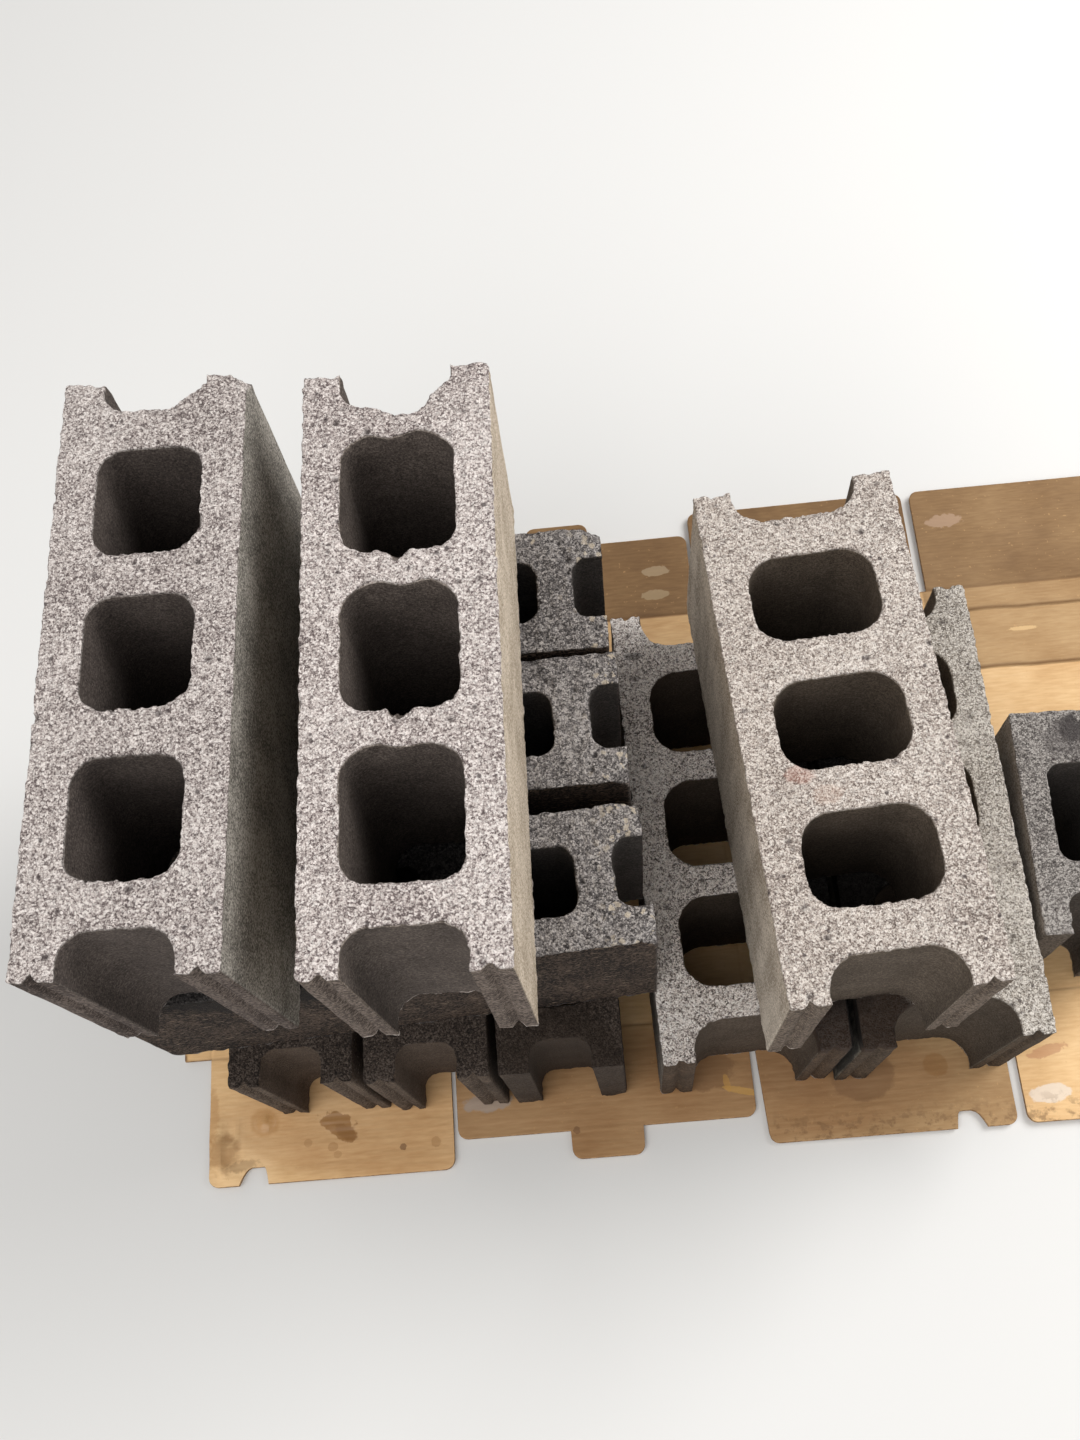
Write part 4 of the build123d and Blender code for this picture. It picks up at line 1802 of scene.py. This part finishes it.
def concretes() -> tuple[ConcreteFinish, ...]:
    """Lists the finishes of the blocks, named after the record's slots.

    Returns:
        The finishes.
    """
    # Colours of painted shade, laid as spots where the blocks shade each other.
    painted_shade = tone(20, 18, 17)
    painted_brown_shade = tone(54, 39, 29)
    # Painted shade on the two wide bottom blocks: under the front end of the wide middle block, under the
    # rest of it, and in the gap between the two blocks.
    under = (
        StainOrShade((64.0, -247.0, 194.0), (66.0, 44.0, 24.0), painted_brown_shade, 0.95, softness=0.12, uneven=0.15),
        StainOrShade((68.0, -60.0, 194.0), (62.0, 184.0, 30.0), painted_shade, 0.92, softness=0.10, uneven=0.15),
        StainOrShade((74.5, -262.0, 95.0), (5.0, 95.0, 270.0), painted_shade, 0.90, softness=0.10, uneven=0.1),
    )
    return (
        ConcreteFinish(
            "concrete_warm_grey",
            bed=tones((100, 89, 87), (160, 149, 144), (194, 183, 177), (230, 221, 215)),
            side=tones((86, 82, 76), (128, 123, 115), (172, 166, 157)),
            end=tones((52, 43, 39), (84, 73, 67), (118, 106, 98)),
            inner=tones((52, 46, 43), (80, 71, 66), (110, 100, 93)),
        ),
        ConcreteFinish(
            "concrete_beige",
            bed=tones((104, 92, 90), (168, 156, 151), (204, 192, 186), (238, 229, 223)),
            side=tones((140, 126, 107), (184, 168, 148), (220, 206, 188)),
            end=tones((62, 52, 46), (98, 86, 78), (134, 121, 111)),
            inner=tones((56, 48, 44), (85, 76, 70), (118, 107, 99)),
            pit_share=0.16,
        ),
        ConcreteFinish(
            "concrete_pale_grey",
            bed=tones((112, 100, 92), (170, 157, 148), (203, 191, 181), (234, 225, 216)),
            side=tones((138, 125, 110), (186, 173, 157), (220, 208, 193)),
            end=tones((68, 57, 48), (102, 89, 78), (136, 122, 109)),
            inner=tones((60, 51, 43), (90, 79, 68), (122, 109, 96)),
            pit_share=0.08,
            streaks=0.3,
            stains_or_shade=(
                StainOrShade((33.0, -106.0, 384.0), (10.0, 8.0, 12.0), tone(182, 118, 98), 0.30),
                StainOrShade((50.0, -122.0, 384.0), (11.0, 8.0, 12.0), tone(190, 146, 120), 0.20),
                StainOrShade((52.0, -256.0, 384.0), (10.0, 12.0, 12.0), tone(126, 90, 78), 0.30),
            ),
        ),
        ConcreteFinish(
            "concrete_mid_grey",
            # The pale bed tones are partly painted light: they lift the part of the bed that lies in shade
            # beside the blocks above it.
            bed=tones((88, 80, 75), (190, 178, 170), (234, 223, 215), (250, 244, 238)),
            side=tones((72, 66, 59), (104, 96, 88), (136, 128, 119)),
            end=tones((48, 36, 26), (70, 54, 40), (94, 75, 58)),
            inner=tones((52, 42, 34), (76, 64, 53), (102, 89, 77)),
            # Painted shade from the wide middle block, and a small spot of painted shade near the back left
            # of the bed.
            stains_or_shade=under + (StainOrShade((-68.0, 80.0, 194.0), (8.0, 4.0, 8.0), painted_shade, 0.6),),
        ),
        ConcreteFinish(
            "concrete_green_grey",
            bed=tones((104, 97, 88), (160, 151, 141), (193, 185, 175), (226, 219, 210)),
            side=tones((104, 98, 86), (136, 130, 117), (166, 160, 147)),
            end=tones((46, 37, 28), (68, 54, 41), (92, 76, 60)),
            inner=tones((50, 42, 34), (74, 64, 54), (100, 89, 78)),
            pit_share=0.08,
            # Painted shade from the wide middle block and in the gap beside it.
            stains_or_shade=under,
        ),
        ConcreteFinish(
            "concrete_coarse_dark",
            bed=tones((68, 64, 63), (114, 109, 107), (146, 140, 137), (194, 187, 182)),
            # The dark brown side tones are partly the blocks' own colour and partly painted shade of their
            # faces.
            side=tones((24, 18, 14), (54, 43, 36), (94, 79, 68)),
            end=tones((46, 40, 37), (78, 70, 65), (114, 105, 98)),
            inner=tones((46, 42, 40), (70, 65, 62), (98, 92, 88)),
            grain=1.25,
            crevice=0.55,
            pit_colour=tone(38, 34, 34),
            pale_share=0.03,
            chip_share=0.24,
            chip_colour=tone(208, 194, 174),
            chips_from=-122.0,
            fleck=tone(150, 130, 112),
            fleck_run=(110.0, 110.0, 330.0),
            fleck_edge=0.71,
            sand=2.2,
            sand_spread=0.1,
            relief=2.6,
            side_relief=0.9,
            # Painted shade on the upper beds and sides of the coarse blocks, under and between the two top
            # blocks.
            stains_or_shade=(StainOrShade((-322.0, -60.0, 384.0), (162.0, 330.0, 60.0), painted_shade, 0.8, softness=0.1),),
        ),
        ConcreteFinish(
            "concrete_brown_grey",
            bed=tones((36, 29, 25), (56, 47, 41), (72, 62, 55), (98, 87, 79)),
            side=tones((54, 42, 34), (78, 64, 54), (104, 89, 77)),
            end=tones((54, 43, 34), (82, 68, 57), (112, 97, 84)),
            inner=tones((58, 46, 37), (84, 70, 59), (110, 95, 83)),
            pit_colour=tone(24, 20, 18),
            side_relief=0.7,
            # Painted shade on the front end of the third thin bottom block.
            stains_or_shade=(StainOrShade((-157.0, -262.0, 110.0), (62.0, 60.0, 200.0), tone(40, 30, 22), 0.65),),
        ),
        ConcreteFinish(
            "concrete_blue_grey",
            bed=tones((68, 64, 62), (114, 109, 105), (147, 141, 136), (190, 184, 178)),
            side=tones((112, 103, 96), (150, 140, 132), (184, 174, 165)),
            end=tones((66, 58, 52), (94, 85, 77), (124, 114, 105)),
            inner=tones((52, 47, 44), (78, 72, 68), (106, 100, 95)),
            stains_or_shade=(
                StainOrShade((290.0, -22.0, 194.0), (12.0, 12.0, 10.0), tone(48, 44, 44), 0.75, uneven=1.4),
                StainOrShade((284.0, -30.0, 194.0), (22.0, 20.0, 10.0), tone(74, 68, 68), 0.45, uneven=1.3),
            ),
        ),
    )


def mark(x: float, y: float, wide: float, deep: float, *look: object, **edge: float) -> StainOrShade:
    """Mark on the upper face of the board."""
    return StainOrShade((x, y, BOARD_THICKNESS), (wide, deep, MARK_REACH), *look, **edge)


def board_finish() -> CardboardFinish:
    """The carton's finish, with its damp rings, spills, torn liner and tape.

    Returns:
        The finish.
    """
    damp = tone(124, 90, 60)
    spill = tone(146, 101, 52)
    paper = tone(228, 216, 202)
    sheen = (0.22, 0.22, 0.22, 1.0)
    blister = mark(-441.0, -267.0, 14.0, 13.0, tone(178, 130, 76), 0.55, 0.0, 0.16, 0.4)
    wet_spot = mark(-372.0, -275.0, 21.0, 11.5, spill, 0.75, -38.0, 0.07, 1.15)
    return CardboardFinish(
        "corrugated_board",
        liner=tones((206, 163, 112), (223, 183, 132), (236, 199, 149)),
        # Darker liner for the painted shade on strips and flaps.
        painted_shade_liner=tones((101, 73, 45), (116, 86, 54), (133, 102, 66)),
        rim=tones((112, 82, 52), (176, 138, 96)),
        # Painted shade along the creases.
        crease=tone(104, 72, 42),
        dirt=tone(118, 88, 58),
        stains_or_shade=(
            mark(-150.0, -270.0, 360.0, 66.0, tone(146, 88, 46), 0.24, 0.0, 0.10, 0.1),
            mark(104.0, -268.0, 30.0, 24.0, damp, 0.55, 0.0, 0.08, 0.4),
            mark(60.0, -262.0, 62.0, 26.0, damp, 0.28, 0.0, 0.30, 0.6),
            mark(171.0, -264.0, 11.5, 11.0, spill, 0.45, 0.0, 0.10, 0.4),
            blister,
            wet_spot,
            mark(-366.0, -281.0, 12.0, 6.0, tone(126, 84, 42), 0.40, -35.0, 0.2, 0.8),
            mark(-378.0, -293.0, 5.0, 4.5, spill, 0.35, 0.0, 0.1, 0.4),
            mark(-374.0, -300.0, 4.0, 3.5, spill, 0.30, 0.0, 0.1, 0.4),
            mark(-401.0, -288.0, 4.0, 4.0, spill, 0.30, 0.0, 0.1, 0.4),
            mark(-314.0, -298.0, 3.2, 3.2, damp, 0.75, softness=0.08),
            mark(-284.0, -296.0, 4.5, 5.0, spill, 0.35, 0.0, 0.1, 0.6),
            mark(-156.0, -296.0, 3.5, 3.5, damp, 0.7, softness=0.05),
            mark(-480.0, -290.0, 15.0, 19.0, tone(146, 102, 56), 0.60, 20.0, 0.30, 1.2),
            mark(-462.0, -304.0, 16.0, 5.0, tone(120, 88, 58), 0.40, 8.0, 0.30, 1.4),
            mark(-489.0, -262.0, 6.0, 30.0, tone(176, 128, 78), 0.45, 0.0, 0.30, 1.2),
            mark(-236.0, -266.0, 24.0, 8.0, tone(160, 156, 154), 0.50, softness=0.12),
            mark(-36.0, -252.0, 28.0, 19.0, damp, 0.55, softness=0.12),
            mark(-4.0, -273.0, 19.0, 3.2, tone(200, 154, 84), 0.70, -14.0, 0.05, 0.6),
            mark(-17.0, -265.0, 3.0, 9.0, tone(196, 148, 78), 0.60, 10.0, 0.05, 0.6),
            mark(267.0, -297.0, 20.0, 8.5, paper, 0.70, 4.0, 0.08, 0.6),
            mark(271.0, -260.0, 19.0, 5.0, tone(186, 128, 94), 0.55, 12.0, 0.10, 0.9),
            mark(-29.0, 258.0, 15.0, 6.0, tone(164, 142, 112), 0.70, 0.0, 0.05, 0.6),
            mark(-32.0, 231.0, 15.0, 6.0, tone(160, 138, 106), 0.70, 0.0, 0.05, 0.6),
            mark(274.0, 284.0, 20.0, 8.0, tone(184, 154, 130), 0.55, 0.0, 0.10, 0.9),
            mark(331.0, 155.0, 15.0, 2.4, tone(226, 190, 138), 0.7, softness=0.1),
        ),
        wet=(
            mark(-441.0, -267.0, 11.0, 10.0, sheen, 0.9, 0.0, 0.2, 0.4),
            StainOrShade(wet_spot.middle, wet_spot.reach, sheen, 0.8, wet_spot.turn, 0.2, 0.4),
        ),
    )


def finishes() -> dict[str, bpy.types.Material]:
    """Makes every finish once, by the record's slot names."""
    made = concretes() + (board_finish(),)
    return {finish.name: finish.material() for finish in made}


def top_blocks() -> list[HollowBlock]:
    """Lists the two blocks of the top tier, with the damage that the photograph shows.

    Returns:
        The blocks.
    """
    half = MEDIUM.core_length / 2.0 + CORE_DRAFT
    middles = MEDIUM.core_middles
    back = MEDIUM.length / 2.0
    recess = MEDIUM.recess
    notches = tuple(Dent(m - half, 1.0, 10.0, (-6.0, 0.0, -1.0), tall=1.6) for m in middles[1:])
    lobes = ((0, -15.0, 11.0, 1.8), (0, 14.0, 13.0, 2.4), (1, -17.0, 12.0, 2.6), (1, 12.0, 15.0, 3.2))
    lobes += ((2, -13.0, 16.0, 3.8), (2, 17.0, 12.0, 2.6))
    scallops = tuple(
        Dent(middles[core] + half, side, reach, (move, 0.0, -0.3), tall=1.4)
        for core, side, reach, move in lobes
    )
    crumbs = (
        Dent(middles[0] + half + 12.0, 30.0, 13.0, (0.0, 0.0, 1.1)),
        Dent(middles[1] - half - 14.0, -3.0, 12.0, (0.0, 0.0, -2.2)),
        Dent(middles[1] + half + 13.0, 34.0, 15.0, (0.0, 0.0, 1.3)),
        Dent(middles[1] + half + 10.0, 4.0, 12.0, (0.0, 0.0, -2.4)),
        Dent(middles[2] + half + 12.0, 2.0, 13.0, (0.0, 0.0, -2.6)),
        Dent(middles[0] - half - 16.0, 2.0, 14.0, (0.0, 0.0, -2.0)),
    )
    split_web = (
        Dent(back - recess - CORE_DRAFT, -2.0, 24.0, (-8.0, 0.0, 0.0), tall=20.0),
        Dent(back - recess + 4.0, -30.0, 16.0, (5.0, 3.5, 0.0), tall=20.0),
        Dent(back, 42.0, 6.0, (-2.0, 0.0, -0.6)),
    )
    flared = (
        Dent(back - recess + 4.0, -28.0, 20.0, (5.5, 4.5, 0.0), tall=20.0),
        Dent(back, 38.0, 8.0, (-2.5, 0.0, -1.0)),
    )
    full_corners = tuple(Dent(m - half + 4.0, -30.0, 22.0, (1.8, 1.5, 0.0), tall=5.0) for m in middles)
    deep_recess = tuple(
        Dent(recess - back, side * 15.0, 34.0, (1.4, 0.0, 0.0), tall=4.0) for side in (-1.0, 1.0)
    )
    return [
        HollowBlock(
            "top_block_left",
            MEDIUM,
            Seat(-374.5, -56.0, 2, 88.15, True),
            "concrete_warm_grey",
            seed=11,
            lip=3.6,
            worn_back=2.4,
            roughness=1.1,
            breaks=(Break(1, -1),),
            dents=flared + full_corners + deep_recess,
            **PALE,
        ),
        HollowBlock(
            "top_block_right",
            MEDIUM,
            Seat(-216.5, -68.0, 2, 88.77, False),
            "concrete_beige",
            seed=23,
            lip=2.6,
            worn_back=2.0,
            roughness=1.35,
            dents=notches + scallops + crumbs + split_web,
            seam=0.35,
            **PALE,
        ),
    ]


def middle_blocks() -> list[HollowBlock]:
    """Lists the wide block and the three coarse ones of the middle tier.

    Returns:
        The blocks.
    """
    wide = HollowBlock(
        "middle_wide_block",
        WIDE,
        Seat(68.5, -69.0, 1, 93.04, True),
        "concrete_pale_grey",
        seed=37,
        lip=3.2,
        worn_back=1.6,
        roughness=1.1,
        **PALE,
    )
    right = Break(1, -1)
    left = Break(1, 1)
    rows = (
        ("middle_block_front", Seat(-273.5, -173.0, 1, 2.79, True), Fineness.MIDDLE, 41, (right, left)),
        ("middle_block_centre", Seat(-280.5, -52.0, 1, 1.2, True), Fineness.COARSE, 53, (right,)),
        ("middle_block_back", Seat(-284.5, 58.0, 1, -0.7, True), Fineness.COARSE, 67, (left,)),
    )
    return [wide] + [
        HollowBlock(node, THIN, seat, "concrete_coarse_dark", fineness, seed, breaks=breaks, **COARSE)
        for node, seat, fineness, seed, breaks in rows
    ]


def bottom_blocks() -> list[HollowBlock]:
    """Lists the six blocks of the bottom tier, from left to right.

    Returns:
        The blocks.
    """
    brown = "concrete_brown_grey"
    seats = (
        ("bottom_block_left", THIN_GROOVED, Seat(-368.5, -67.0, 0, 88.64, True), brown, 71),
        ("bottom_block_centre", THIN_GROOVED, Seat(-261.5, -72.0, 0, 89.1, True), brown, 83),
        ("bottom_block_right", THIN, Seat(-157.5, -73.0, 0, 90.0, True), brown, 97),
        ("bottom_wide_block_left", WIDE, Seat(-6.0, -75.0, 0, 91.0, False), "concrete_mid_grey", 103),
        ("bottom_wide_block_right", WIDE, Seat(152.5, -76.0, 0, 90.3, False), "concrete_green_grey", 109),
        ("bottom_half_block", HALF, Seat(287.5, -101.0, 0, 87.81, False), "concrete_blue_grey", 127),
    )
    return [
        HollowBlock(node, section, seat, slot, seed=seed, **BROWN)
        for node, section, seat, slot, seed in seats
    ]


def main() -> None:
    """Builds the stack and reports each piece."""
    logging.basicConfig(level=logging.INFO, format="%(message)s")
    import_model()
    Studio().build()
    materials = finishes()
    stack = top_blocks() + middle_blocks() + bottom_blocks()
    for block in stack:
        block.build(materials[block.slot])
    FlattenedCarton().build(materials["corrugated_board"], stack)


if __name__ == "__main__":
    main()
